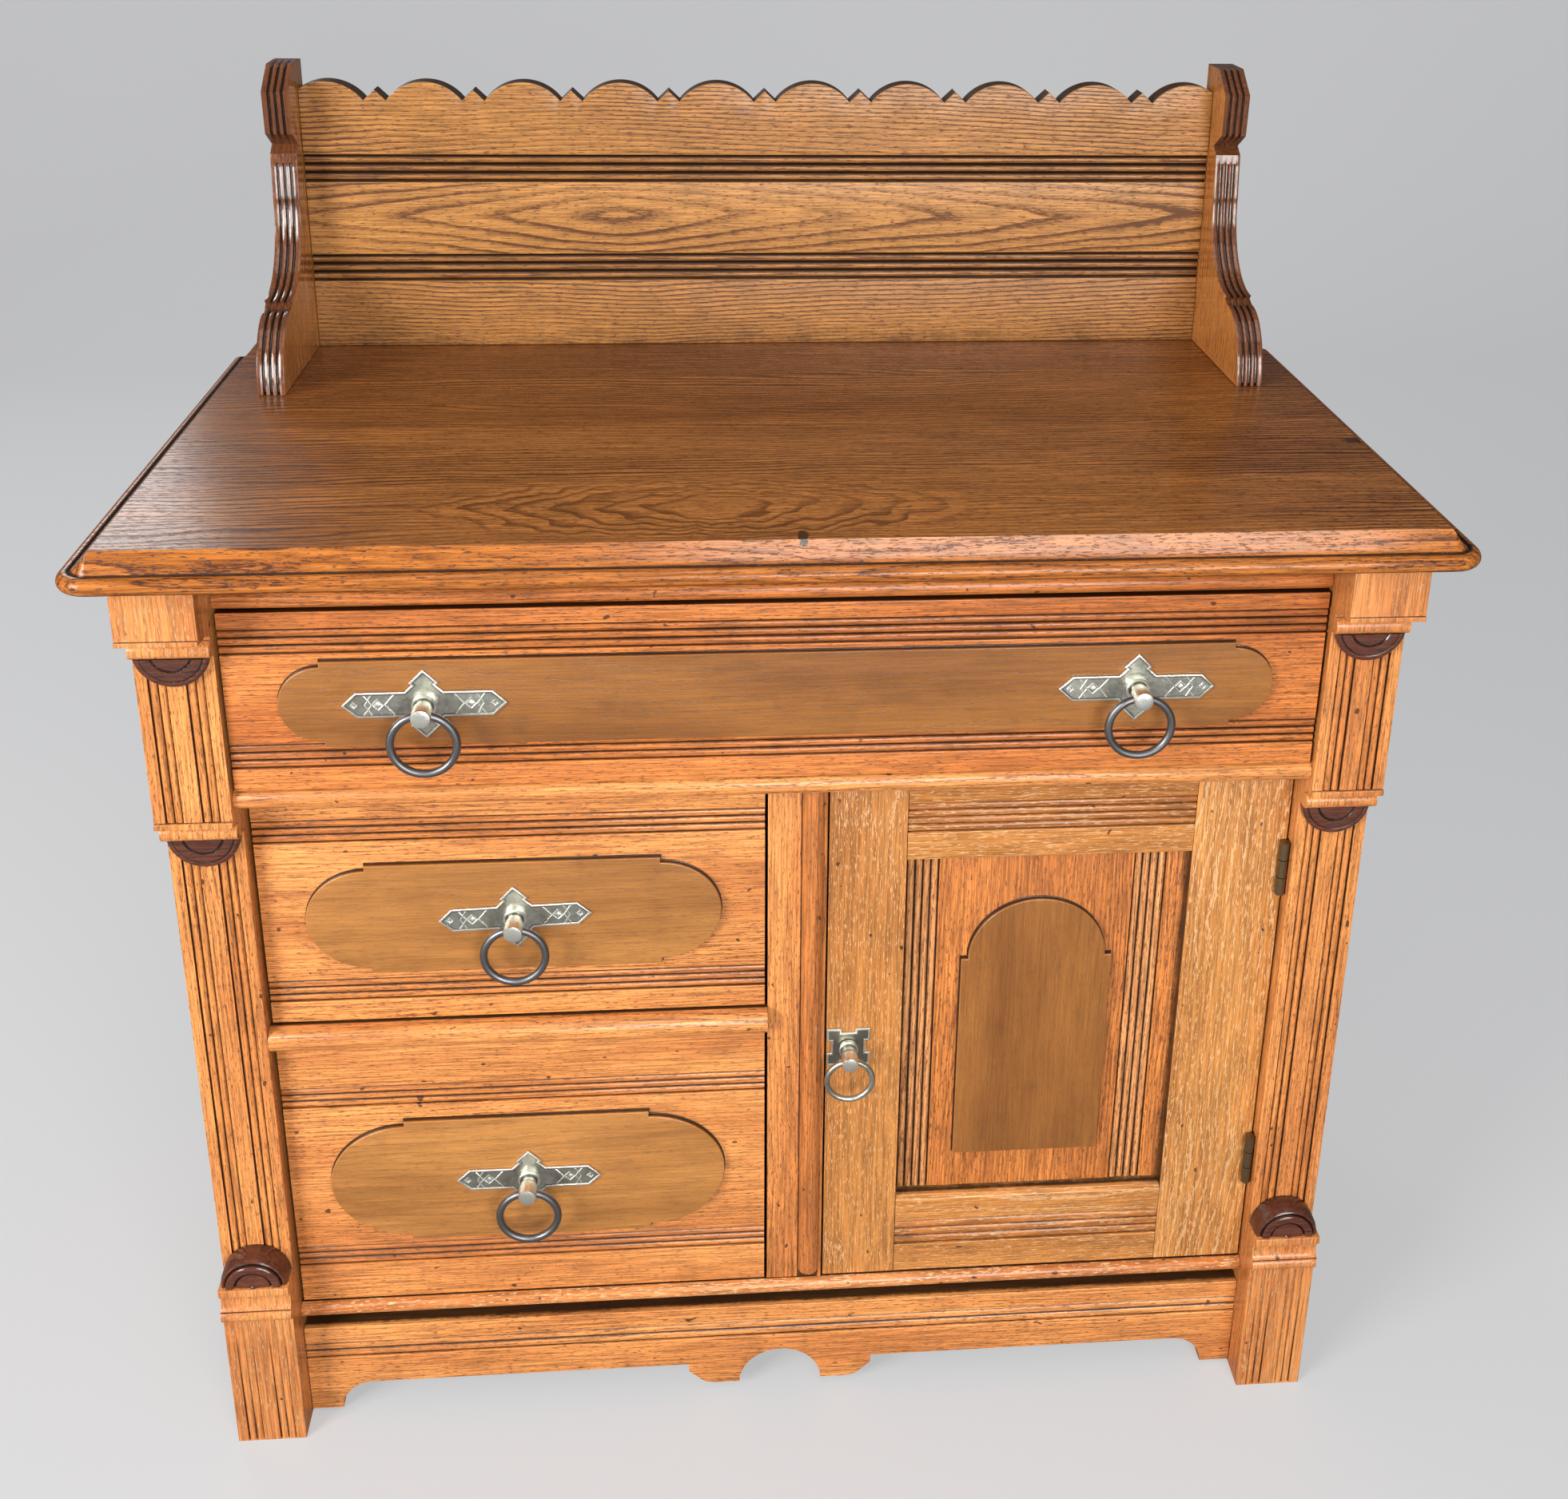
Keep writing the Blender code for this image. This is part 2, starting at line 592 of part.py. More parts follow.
def post_outline():
    """(y, z) down the moulded front of a post and back up behind it."""
    hollow_front = front(CAP_PROJECTION - CAP_FILLET_STEP)
    neck_centre = front(NECK_BEAD_PROJECTION - NECK_BEAD_RADIUS)
    waist_centre = front(WAIST_BEAD_PROJECTION - WAIST_BEAD_RADIUS)
    ledge_front = front(LEDGE_PROJECTION - JOINT_GAP)
    foot_centre = front(FOOT_BLOCK_PROJECTION - FOOT_BEAD_RADIUS)
    block = front(FOOT_BLOCK_PROJECTION)
    hollow_middle = (FOOT_HOLLOW_TOP + FOOT_BEAD_TOP) / 2
    points = [(front(CAP_PROJECTION), CASE_HEIGHT - JOINT_GAP), (front(CAP_PROJECTION), CAP_BOTTOM)]
    points += [(front(CAP_PROJECTION + CAP_FILLET_STEP), CAP_BOTTOM)]
    points += [(front(CAP_PROJECTION + CAP_FILLET_STEP), CAP_FILLET_BOTTOM)]
    points += arc((hollow_front, NECK_BEAD_TOP), (neck_centre - hollow_front, CAP_HOLLOW_HEIGHT), 90, 0, 5)
    points += arc(
        (neck_centre, NECK_BEAD_TOP - NECK_BEAD_RADIUS), (NECK_BEAD_RADIUS, NECK_BEAD_RADIUS), 90, 270, 8
    )[1:]
    points += [(front(UPPER_SHAFT_PROJECTION), NECK_BEAD_BOTTOM), (front(UPPER_SHAFT_PROJECTION), LEDGE_TOP)]
    points += [(front(LEDGE_PROJECTION), LEDGE_TOP), (front(LEDGE_PROJECTION), LEDGE_BOTTOM)]
    waist_middle = WAIST_BEAD_TOP - WAIST_BEAD_RADIUS
    points += arc((ledge_front, WAIST_BEAD_TOP), (waist_centre - ledge_front, WAIST_HOLLOW_HEIGHT), 90, 0, 4)
    points += arc((waist_centre, waist_middle), (WAIST_BEAD_RADIUS, WAIST_BEAD_RADIUS), 90, 270, 8)[1:]
    points += [(front(LOWER_SHAFT_PROJECTION), WAIST_BEAD_BOTTOM)]
    points += [(front(LOWER_SHAFT_PROJECTION), FOOT_BLOCK_TOP), (block, FOOT_BLOCK_TOP)]
    points += arc((block, hollow_middle), (FOOT_HOLLOW_DEPTH, FOOT_HOLLOW_HEIGHT / 2), 90, -90, 6)
    points += arc(
        (foot_centre, FOOT_BEAD_TOP - FOOT_BEAD_RADIUS), (FOOT_BEAD_RADIUS, FOOT_BEAD_RADIUS), 90, 270, 8
    )
    points += [(foot_centre, FOOT_HEIGHT), (front(FOOT_PROJECTION), FOOT_HEIGHT)]
    points += [(front(FOOT_PROJECTION), 0.0)]
    points += [(FACE_Y + POST_BACK, 0.0), (FACE_Y + POST_BACK, CASE_HEIGHT - JOINT_GAP)]
    return points


def post_reed_cutters(side, projection, low, high):
    """Two bands of reeds down one zone of a post."""
    bands = []
    inner = side * OPENING_HALF
    starts = (POST_REED_MARGIN, POST_WIDTH - POST_REED_MARGIN - POST_REED_PITCH * POST_REED_COUNT)
    for start in starts:
        line = reed_line(start, POST_REED_PITCH, POST_REED_COUNT, REED_DEPTH, 0.0)
        points = [(inner + side * place, y) for place, y in band_cutter(line, front(projection))]
        bands.append(prism(points, ACROSS_Z, low, high))
    return joined(bands)


def hinge_spans():
    """The low ends of the upper and lower hinge."""
    return {"upper": DOOR_TOP - HINGE_INSET - HINGE_LENGTH, "lower": DOOR_BOTTOM + HINGE_FOOT_INSET}


def make_posts():
    zones = [
        ("upper", UPPER_SHAFT_PROJECTION, LEDGE_TOP, NECK_BEAD_BOTTOM),
        ("lower", LOWER_SHAFT_PROJECTION, FOOT_BLOCK_TOP, WAIST_BEAD_BOTTOM),
        ("foot", FOOT_PROJECTION, -CUT_OVERRUN, FOOT_HEIGHT),
    ]
    for side, word in ((-1, "left"), (1, "right")):
        ends = sorted((side * OPENING_HALF, side * CASE_WIDTH / 2))
        post = add_piece("front_post_" + word, prism(post_outline(), ACROSS_X, *ends), "case_wood")
        for zone, projection, low, high in zones:
            reeds = post_reed_cutters(side, projection, low, high)
            cut(post, reeds, "reeds_" + zone + "_" + word)
        if side > 0:
            for place, low in hinge_spans().items():
                leaf = box(
                    (OPENING_HALF - CUT_OVERRUN, HINGE_Y - KNUCKLE_RADIUS / 2 - PIN_GAP, low - PIN_GAP),
                    (
                        OPENING_HALF + LEAF_THICKNESS + PIN_GAP,
                        HINGE_Y + LEAF_WIDTH + PIN_GAP,
                        low + HINGE_LENGTH + PIN_GAP,
                    ),
                )
                cut(post, leaf, "post_mortise_" + place)


def make_roundels():
    """Half discs on the posts: two hang from the bead above them, and one stands on the foot block."""
    zones = [
        ("upper", UPPER_SHAFT_PROJECTION, NECK_BEAD_BOTTOM + UPPER_ROUNDEL_RAISE, UPPER_ROUNDEL_THICKNESS),
        ("middle", LOWER_SHAFT_PROJECTION, WAIST_BEAD_BOTTOM, MIDDLE_ROUNDEL_THICKNESS),
        ("foot", LOWER_SHAFT_PROJECTION, FOOT_BLOCK_TOP, FOOT_ROUNDEL_THICKNESS),
    ]
    for side, word in ((-1, "left"), (1, "right")):
        middle = side * (OPENING_HALF + POST_WIDTH / 2)
        for zone, projection, level, thickness in zones:
            back = front(projection) - JOINT_GAP
            profile = [(r * ROUNDEL_RADIUS, h * thickness) for r, h in ROUNDEL_PROFILE_SHARES]
            disc = turned(profile, ROUNDEL_STEPS, (middle, back, level), FACING_FRONT)
            roundel = add_piece("roundel_" + zone + "_" + word, disc, "roundel_walnut")
            reach = ROUNDEL_RADIUS + CUT_OVERRUN
            low, high = {
                "upper": (NECK_BEAD_BOTTOM - JOINT_GAP, level + reach),
                "middle": (WAIST_BEAD_BOTTOM - JOINT_GAP, level + reach),
                "foot": (level - reach, FOOT_BLOCK_TOP + JOINT_GAP),
            }[zone]
            away = box(
                (middle - reach, back - thickness - CUT_OVERRUN, low),
                (middle + reach, back + CUT_OVERRUN, high),
            )
            cut(roundel, away, "half_" + zone + "_" + word)
            smooth(roundel)


def nose_outline(projection, back, low, high):
    """(y, z) of a rail whose front edge is rounded over its whole height."""
    radius = (high - low) / 2
    nose = arc((front(projection) + radius, low + radius), (radius, radius), 90, 270, NOSE_STEPS)
    return nose + [(FACE_Y + back, low), (FACE_Y + back, high)]


def make_rails():
    inner = OPENING_HALF - JOINT_GAP
    bead_z = TOP_RAIL_Z + TOP_RAIL_BEAD_RADIUS
    bead_y = front(TOP_RAIL_BEAD_PROJECTION - TOP_RAIL_BEAD_RADIUS)
    back = front(TOP_RAIL_PROJECTION) + TOP_RAIL_THICKNESS
    outline = [(front(TOP_RAIL_PROJECTION), CASE_HEIGHT - JOINT_GAP)]
    outline += [(front(TOP_RAIL_PROJECTION), bead_z + TOP_RAIL_BEAD_RADIUS)]
    outline += arc((bead_y, bead_z), (TOP_RAIL_BEAD_RADIUS, TOP_RAIL_BEAD_RADIUS), 90, 270, NOSE_STEPS)
    outline += [(back, TOP_RAIL_Z), (back, CASE_HEIGHT - JOINT_GAP)]
    add_piece("front_top_rail", prism(outline, ACROSS_X, -inner, inner), "case_wood")
    upper = nose_outline(UPPER_RAIL_PROJECTION, RAIL_BACK, UPPER_RAIL_Z, UPPER_OPENING_Z)
    add_piece("upper_drawer_rail", prism(upper, ACROSS_X, -inner, inner), "case_wood")
    lower = nose_outline(LOWER_RAIL_PROJECTION, RAIL_BACK, LOWER_RAIL_Z, MIDDLE_OPENING_Z)
    lower_rail = prism(lower, ACROSS_X, -inner, DIVIDER_LEFT - JOINT_GAP)
    add_piece("lower_drawer_rail", lower_rail, "case_wood")
    bottom = nose_outline(BOTTOM_RAIL_PROJECTION, RAIL_BACK, BOTTOM_RAIL_Z, LOWER_OPENING_Z)
    add_piece("bottom_rail", prism(bottom, ACROSS_X, -inner, inner), "case_wood")


def apron_outline(half):
    """(x, z) of the cut-out apron: two feet, a flat, two lobes and an arch between them."""
    height = APRON_HEIGHT
    flat = APRON_FLAT_SHARE * height
    floor = APRON_FLOOR_SHARE * height
    lobe = APRON_LOBE_DROP_SHARE * height
    arch = APRON_ARCH_SHARE * height
    end, rise = APRON_END_SHARE * half, APRON_RISE_SHARE * half
    start, mid, stop = APRON_LOBE_START_SHARE * half, APRON_LOBE_SHARE * half, APRON_LOBE_END_SHARE * half
    right = arc((0.0, lobe), (stop, arch - lobe), 90, 0, APRON_STEPS)
    right += arc((mid, lobe * 2), (mid - stop, lobe), 250, 330, 4)
    right += [(start, flat - lobe), (start, flat)]
    right += arc((rise, floor), (end - rise, flat - floor), 90, 0, APRON_STEPS)
    right += [(half, floor), (half, height)]
    left = [(-x, z) for x, z in right[1:]]
    return left[::-1] + right


def make_apron():
    half = OPENING_HALF - JOINT_GAP
    face = front(APRON_PROJECTION)
    apron = add_piece(
        "apron", prism(apron_outline(half), ACROSS_Y, face, face + APRON_THICKNESS), "case_wood"
    )
    start = APRON_REED_TOP - APRON_REED_PITCH * APRON_REED_COUNT
    line = reed_line(start, APRON_REED_PITCH, APRON_REED_COUNT, REED_DEPTH, 0.0)
    points = [(y, z) for z, y in band_cutter(line, face)]
    reach = half + CUT_OVERRUN
    cut(apron, prism(points, ACROSS_X, -reach, reach), "apron_reeds")


def make_divider():
    low, high = LOWER_OPENING_Z + JOINT_GAP, UPPER_RAIL_Z - JOINT_GAP
    bead = (DIVIDER_RIGHT - QUIRK_BEAD_RADIUS, FACE_Y)
    outline = [(DIVIDER_LEFT, FACE_Y)]
    outline += arc(bead, (QUIRK_BEAD_RADIUS, QUIRK_BEAD_RADIUS), 180, 360, 6)
    outline += [(DIVIDER_RIGHT, FACE_Y + RAIL_BACK), (DIVIDER_LEFT, FACE_Y + RAIL_BACK)]
    divider = add_piece("divider_stile", prism(outline, ACROSS_Z, low, high), "case_wood")
    left = DIVIDER_LEFT + ASTRAGAL_LEFT
    middle = left + ASTRAGAL_WIDTH / 2
    round_front = arc((middle, FACE_Y), (ASTRAGAL_WIDTH / 2, ASTRAGAL_PROJECTION), 180, 360, 10)
    sunk = FACE_Y + CUT_OVERRUN
    round_front += [(left + ASTRAGAL_WIDTH, sunk), (left, sunk)]
    astragal = prism(round_front, ACROSS_Z, low + ASTRAGAL_FOOT, high - ASTRAGAL_HEAD)
    join(divider, astragal, "astragal")


def board_outline(left, right, notch_left, notch_right):
    """(x, y) of a board that runs back from the rails and is notched round the posts."""
    back = BOARD_BACK_Y
    outline = []
    if notch_left:
        outline += [(left, SIDE_FRONT_Y), (-OPENING_HALF + JOINT_GAP, SIDE_FRONT_Y)]
        outline += [(-OPENING_HALF + JOINT_GAP, BOARD_FRONT_Y)]
    else:
        outline += [(left, BOARD_FRONT_Y)]
    if notch_right:
        outline += [(OPENING_HALF - JOINT_GAP, BOARD_FRONT_Y), (OPENING_HALF - JOINT_GAP, SIDE_FRONT_Y)]
        outline += [(right, SIDE_FRONT_Y)]
    else:
        outline += [(right, BOARD_FRONT_Y)]
    return outline + [(right, back), (left, back)]


def guide(side, level):
    """A strip that keeps a drawer straight, on the board at this level."""
    inner = OPENING_HALF - DRAWER_SIDE_GAP + GUIDE_GAP
    ends = sorted((side * inner, side * (inner + GUIDE_WIDTH)))
    low = (ends[0], SIDE_FRONT_Y + JOINT_GAP, level - DUST_BOARD_THICKNESS / 2)
    return box(low, (ends[1], BOARD_BACK_Y - JOINT_GAP, level + GUIDE_HEIGHT))


def make_boards():
    outer = SIDE_INNER - JOINT_GAP
    whole = board_outline(-outer, outer, True, True)
    upper = prism(whole, ACROSS_Z, UPPER_OPENING_Z - DUST_BOARD_THICKNESS, UPPER_OPENING_Z)
    upper_board = add_piece("upper_dust_board", upper, "inner_pine")
    for side, word in ((-1, "left"), (1, "right")):
        join(upper_board, guide(side, UPPER_OPENING_Z), "upper_guide_" + word)
    outline = board_outline(-outer, DIVIDER_LEFT - JOINT_GAP, True, False)
    lower = prism(outline, ACROSS_Z, MIDDLE_OPENING_Z - DUST_BOARD_THICKNESS, MIDDLE_OPENING_Z)
    lower_board = add_piece("lower_dust_board", lower, "inner_pine")
    join(lower_board, guide(-1, MIDDLE_OPENING_Z), "middle_guide")
    bottom = prism(whole, ACROSS_Z, LOWER_OPENING_Z - DUST_BOARD_THICKNESS, LOWER_OPENING_Z)
    bottom_board = add_piece("bottom_board", bottom, "inner_pine")
    join(bottom_board, guide(-1, LOWER_OPENING_Z), "lower_guide")
    partition = box(
        (DIVIDER_LEFT, BOARD_FRONT_Y, LOWER_OPENING_Z + JOINT_GAP),
        (
            DIVIDER_LEFT + PARTITION_THICKNESS,
            BOARD_BACK_Y,
            UPPER_OPENING_Z - DUST_BOARD_THICKNESS - JOINT_GAP,
        ),
    )
    add_piece("partition_board", partition, "inner_pine")
    back = box(
        (-outer, BACK_Y - BACK_PANEL_THICKNESS, BACK_PANEL_FOOT), (outer, BACK_Y, CASE_HEIGHT - JOINT_GAP)
    )
    add_piece("back_panel", back, "inner_pine")


def make_sides():
    back = BACK_Y
    top = CASE_HEIGHT - JOINT_GAP
    leg = back - SIDE_STILE_WIDTH
    outline = [(SIDE_FRONT_Y, SIDE_FOOT), (leg, SIDE_FOOT), (leg, 0.0)]
    outline += [(back, 0.0), (back, top), (SIDE_FRONT_Y, top)]
    window_y = (SIDE_FRONT_Y + SIDE_STILE_WIDTH, leg)
    window_z = (SIDE_FOOT + SIDE_BOTTOM_RAIL_WIDTH, top - SIDE_TOP_RAIL_WIDTH)
    depth = SIDE_GROOVE_DEPTH
    middle = (SIDE_OUTER + SIDE_INNER) / 2
    half = SIDE_PANEL_THICKNESS / 2
    for side, word in ((-1, "left"), (1, "right")):
        ends = sorted((side * SIDE_INNER, side * SIDE_OUTER))
        frame = add_piece("side_frame_" + word, prism(outline, ACROSS_X, *ends), "case_wood")
        window = box(
            (ends[0] - CUT_OVERRUN, window_y[0], window_z[0]),
            (ends[1] + CUT_OVERRUN, window_y[1], window_z[1]),
        )
        cut(frame, window, "side_window_" + word)
        low = Vector((side * middle - half, window_y[0] - depth, window_z[0] - depth))
        high = Vector((side * middle + half, window_y[1] + depth, window_z[1] + depth))
        loose = Vector((JOINT_GAP, JOINT_GAP, JOINT_GAP))
        cut(frame, box(low - loose, high + loose), "side_groove_" + word)
        panel = box(low, high)
        add_piece("side_panel_" + word, panel, "case_wood")


def make_top():
    """A moulded board: rings of the same rounded outline, stepped in as they rise."""
    half = TOP_LENGTH / 2
    front_y = -TOP_DEPTH / 2
    nose_z = CASE_HEIGHT + TOP_NOSE_RADIUS
    section = [
        (TOP_NOSE_RADIUS - x, z)
        for x, z in arc((0.0, nose_z), (TOP_NOSE_RADIUS, TOP_NOSE_RADIUS), -90, 90, NOSE_STEPS)
    ]
    start = TOP_NOSE_RADIUS + TOP_FILLET
    nose_top = nose_z + TOP_NOSE_RADIUS
    for step in range(NOSE_STEPS + 1):
        share = step / NOSE_STEPS
        sag = TOP_COVE_SAG * 4 * share * (1 - share)
        section.append((start + TOP_COVE_WIDTH * share, nose_top + (SURFACE_Z - nose_top) * share - sag))
    shape = bmesh.new()
    rings = []
    for inset, level in section:
        radius = max(TOP_CORNER_RADIUS - inset, TOP_FILLET)
        across, along = half - inset - radius, front_y + inset + radius
        outline = [(-half + inset, TOP_BACK_Y)]
        outline += arc((-across, along), (radius, radius), 180, 270, NOSE_STEPS)
        outline += arc((across, along), (radius, radius), 270, 360, NOSE_STEPS)
        outline += [(half - inset, TOP_BACK_Y)]
        rings.append([shape.verts.new((x, y, level)) for x, y in outline])
    for lower, upper in zip(rings, rings[1:]):
        count = len(lower)
        for index in range(count):
            after = (index + 1) % count
            shape.faces.new((lower[index], lower[after], upper[after], upper[index]))
    shape.faces.new(rings[0][::-1])
    shape.faces.new(rings[-1])
    bmesh.ops.recalc_face_normals(shape, faces=shape.faces)
    mesh = bpy.data.meshes.new("top_board")
    shape.to_mesh(mesh)
    shape.free()
    smooth(add_piece("top_board", mesh, "top_wood"), 30.0)


def splash_outline(half):
    """(x, z) of the splash board: arcs between small teeth along its upper edge."""
    peak = SURFACE_Z + SPLASH_HEIGHT
    valley = peak - SCALLOP_DEPTH
    span = SCALLOP_PITCH / 2 - TOOTH_HALF_WIDTH
    radius = (span * span + SCALLOP_DEPTH * SCALLOP_DEPTH) / (2 * SCALLOP_DEPTH)
    outline = []
    arcs = SCALLOP_TEETH + 1
    for index in range(arcs):
        middle = (index - (arcs - 1) / 2) * SCALLOP_PITCH
        for step in range(SCALLOP_STEPS + 1):
            place = -span + 2 * span * step / SCALLOP_STEPS
            x = max(-half, min(half, middle + place))
            drop = radius - math.sqrt(radius * radius - (x - middle) ** 2)
            if not outline or x > outline[-1][0] + WELD:
                outline.append((x, peak - drop))
        if index < arcs - 1:
            outline.append((middle + SCALLOP_PITCH / 2, valley + TOOTH_HEIGHT))
    base = SURFACE_Z + JOINT_GAP
    return [(half, base), (-half, base)] + outline


def make_splash():
    half = BRACKET_SPREAD - JOINT_GAP
    face = TOP_BACK_Y - SPLASH_THICKNESS
    board = add_piece("splash_board", prism(splash_outline(half), ACROSS_Y, face, TOP_BACK_Y), "splash_wood")
    bands = []
    for level in (SPLASH_LOWER_REEDS, SPLASH_UPPER_REEDS):
        line = reed_line(
            SURFACE_Z + level, SPLASH_REED_PITCH, SPLASH_REED_COUNT, SPLASH_REED_DEPTH, SPLASH_REED_MARGIN
        )
        points = [(y, z) for z, y in band_cutter(line, face)]
        bands.append(prism(points, ACROSS_X, -half - CUT_OVERRUN, half + CUT_OVERRUN))
    cut(board, joined(bands), "splash_reeds")


def bracket_point(shares):
    return (TOP_BACK_Y - shares[0] * BRACKET_DEPTH, SURFACE_Z + JOINT_GAP + shares[1] * BRACKET_HEIGHT)


def bracket_stretches():
    """(y, z) up the front edge of a bracket, in three stretches: the lobe, the long hollow and the block."""
    base = SURFACE_Z + JOINT_GAP
    lobe_y = TOP_BACK_Y - (1 - LOBE_DEPTH_SHARE) * BRACKET_DEPTH
    lobe = arc(
        (lobe_y, base), (LOBE_DEPTH_SHARE * BRACKET_DEPTH, LOBE_HEIGHT_SHARE * BRACKET_HEIGHT), 180, 90,
        BRACKET_STEPS,
    )
    foot, top = bracket_point(NOTCH_OUT_SHARES), bracket_point(CURVE_TOP_SHARES)
    hollow = arc((foot[0], top[1]), (top[0] - foot[0], top[1] - foot[1]), -90, 0, BRACKET_STEPS)
    hollow.append(bracket_point(NECK_SHARES))
    block = [bracket_point(shares) for shares in (BLOCK_FOOT_SHARES, BLOCK_FACE_SHARES, BLOCK_TOP_SHARES)]
    return lobe, hollow, block


def inward(line, depth):
    """The same line moved back by a depth, square to itself at each point."""
    moved = []
    for index, (y, z) in enumerate(line):
        before, after = line[max(index - 1, 0)], line[min(index + 1, len(line) - 1)]
        along_y, along_z = after[0] - before[0], after[1] - before[1]
        length = math.hypot(along_y, along_z)
        moved.append((y + depth * along_z / length, z - depth * along_y / length))
    return moved


def run_out(line, at_start, at_end):
    """The line with its first or last piece carried on past the wood, for a cut that leaves it."""
    longer = list(line)
    if at_start:
        (y, z), (after_y, after_z) = line[0], line[1]
        share = CUT_OVERRUN / math.hypot(after_y - y, after_z - z)
        longer.insert(0, (y - (after_y - y) * share, z - (after_z - z) * share))
    if at_end:
        (before_y, before_z), (y, z) = line[-2], line[-1]
        share = CUT_OVERRUN / math.hypot(y - before_y, z - before_z)
        longer.append((y + (y - before_y) * share, z + (z - before_z) * share))
    return longer


def groove_band(line, left, width):
    """A cutter that follows a stretch of the edge, as wide as one groove."""
    outer = inward(line, -CUT_OVERRUN)
    return prism(outer + inward(line, BRACKET_GROOVE_DEPTH)[::-1], ACROSS_X, left, left + width)


def make_brackets():
    lobe, hollow, block = bracket_stretches()
    outline = lobe + [bracket_point(NOTCH_IN_SHARES)] + hollow + [bracket_point(NECK_NOTCH_SHARES)] + block
    top = SURFACE_Z + JOINT_GAP + BRACKET_HEIGHT
    outline += [(TOP_BACK_Y, top), (TOP_BACK_Y, SURFACE_Z + JOINT_GAP)]
    plain = GROOVE_STOP_SHARE * BRACKET_HEIGHT
    hollow_reeds = run_out(hollow[:-1] + [(hollow[-1][0], hollow[-1][1] - plain)], True, False)
    lobe_reeds = run_out(lobe, True, True)
    block_reeds = run_out(block, True, True)
    pitch = BRACKET_THICKNESS / (BRACKET_GROOVES + 1)
    for side, word in ((-1, "left"), (1, "right")):
        ends = sorted((side * BRACKET_SPREAD, side * (BRACKET_SPREAD + BRACKET_THICKNESS)))
        bracket = add_piece("splash_bracket_" + word, prism(outline, ACROSS_X, *ends), "bracket_wood")
        for place, line in (("lobe", lobe_reeds), ("hollow", hollow_reeds), ("block", block_reeds)):
            bands = []
            for groove in range(1, BRACKET_GROOVES + 1):
                left = ends[0] + pitch * groove - BRACKET_GROOVE_WIDTH / 2
                bands.append(groove_band(line, left, BRACKET_GROOVE_WIDTH))
            cut(bracket, joined(bands), "grooves_" + place + "_" + word)


def drawer_front_outline(face, low, high, strips):
    """(y, z) of a drawer front: two bands of reeds on its face, a groove for the bottom behind."""
    band = DRAWER_REED_PITCH * DRAWER_REED_COUNT
    back = face + FRONT_THICKNESS
    points = [(face, low)]
    for start in (low + strips["bottom_strip"], high - strips["top_strip"] - band):
        line = reed_line(start, DRAWER_REED_PITCH, DRAWER_REED_COUNT, REED_DEPTH, 0.0)
        points += [(face + depth, place) for place, depth in line]
    points += [(face, high), (back, high)]
    groove_low = low + BOTTOM_RAISE - JOINT_GAP
    groove_high = low + BOTTOM_RAISE + BOTTOM_THICKNESS + JOINT_GAP
    inner = back - BOTTOM_GROOVE_DEPTH - JOINT_GAP
    points += [(back, groove_high), (inner, groove_high), (inner, groove_low)]
    return points + [(back, groove_low), (back, low)]


def overlay_outline(middle_x, middle_z, half_length, shape):
    """(x, z) of a flat applied panel with stepped, rounded ends."""
    straight = half_length - shape["end_length"]
    right = [(straight, -shape["half_height"])]
    right += arc((straight, 0.0), (shape["end_length"], shape["end_height"]), -90, 90, OVERLAY_STEPS)
    right += [(straight, shape["half_height"])]
    left = [(-x, z) for x, z in right[::-1]]
    return [(middle_x + x, middle_z + z) for x, z in right + left]


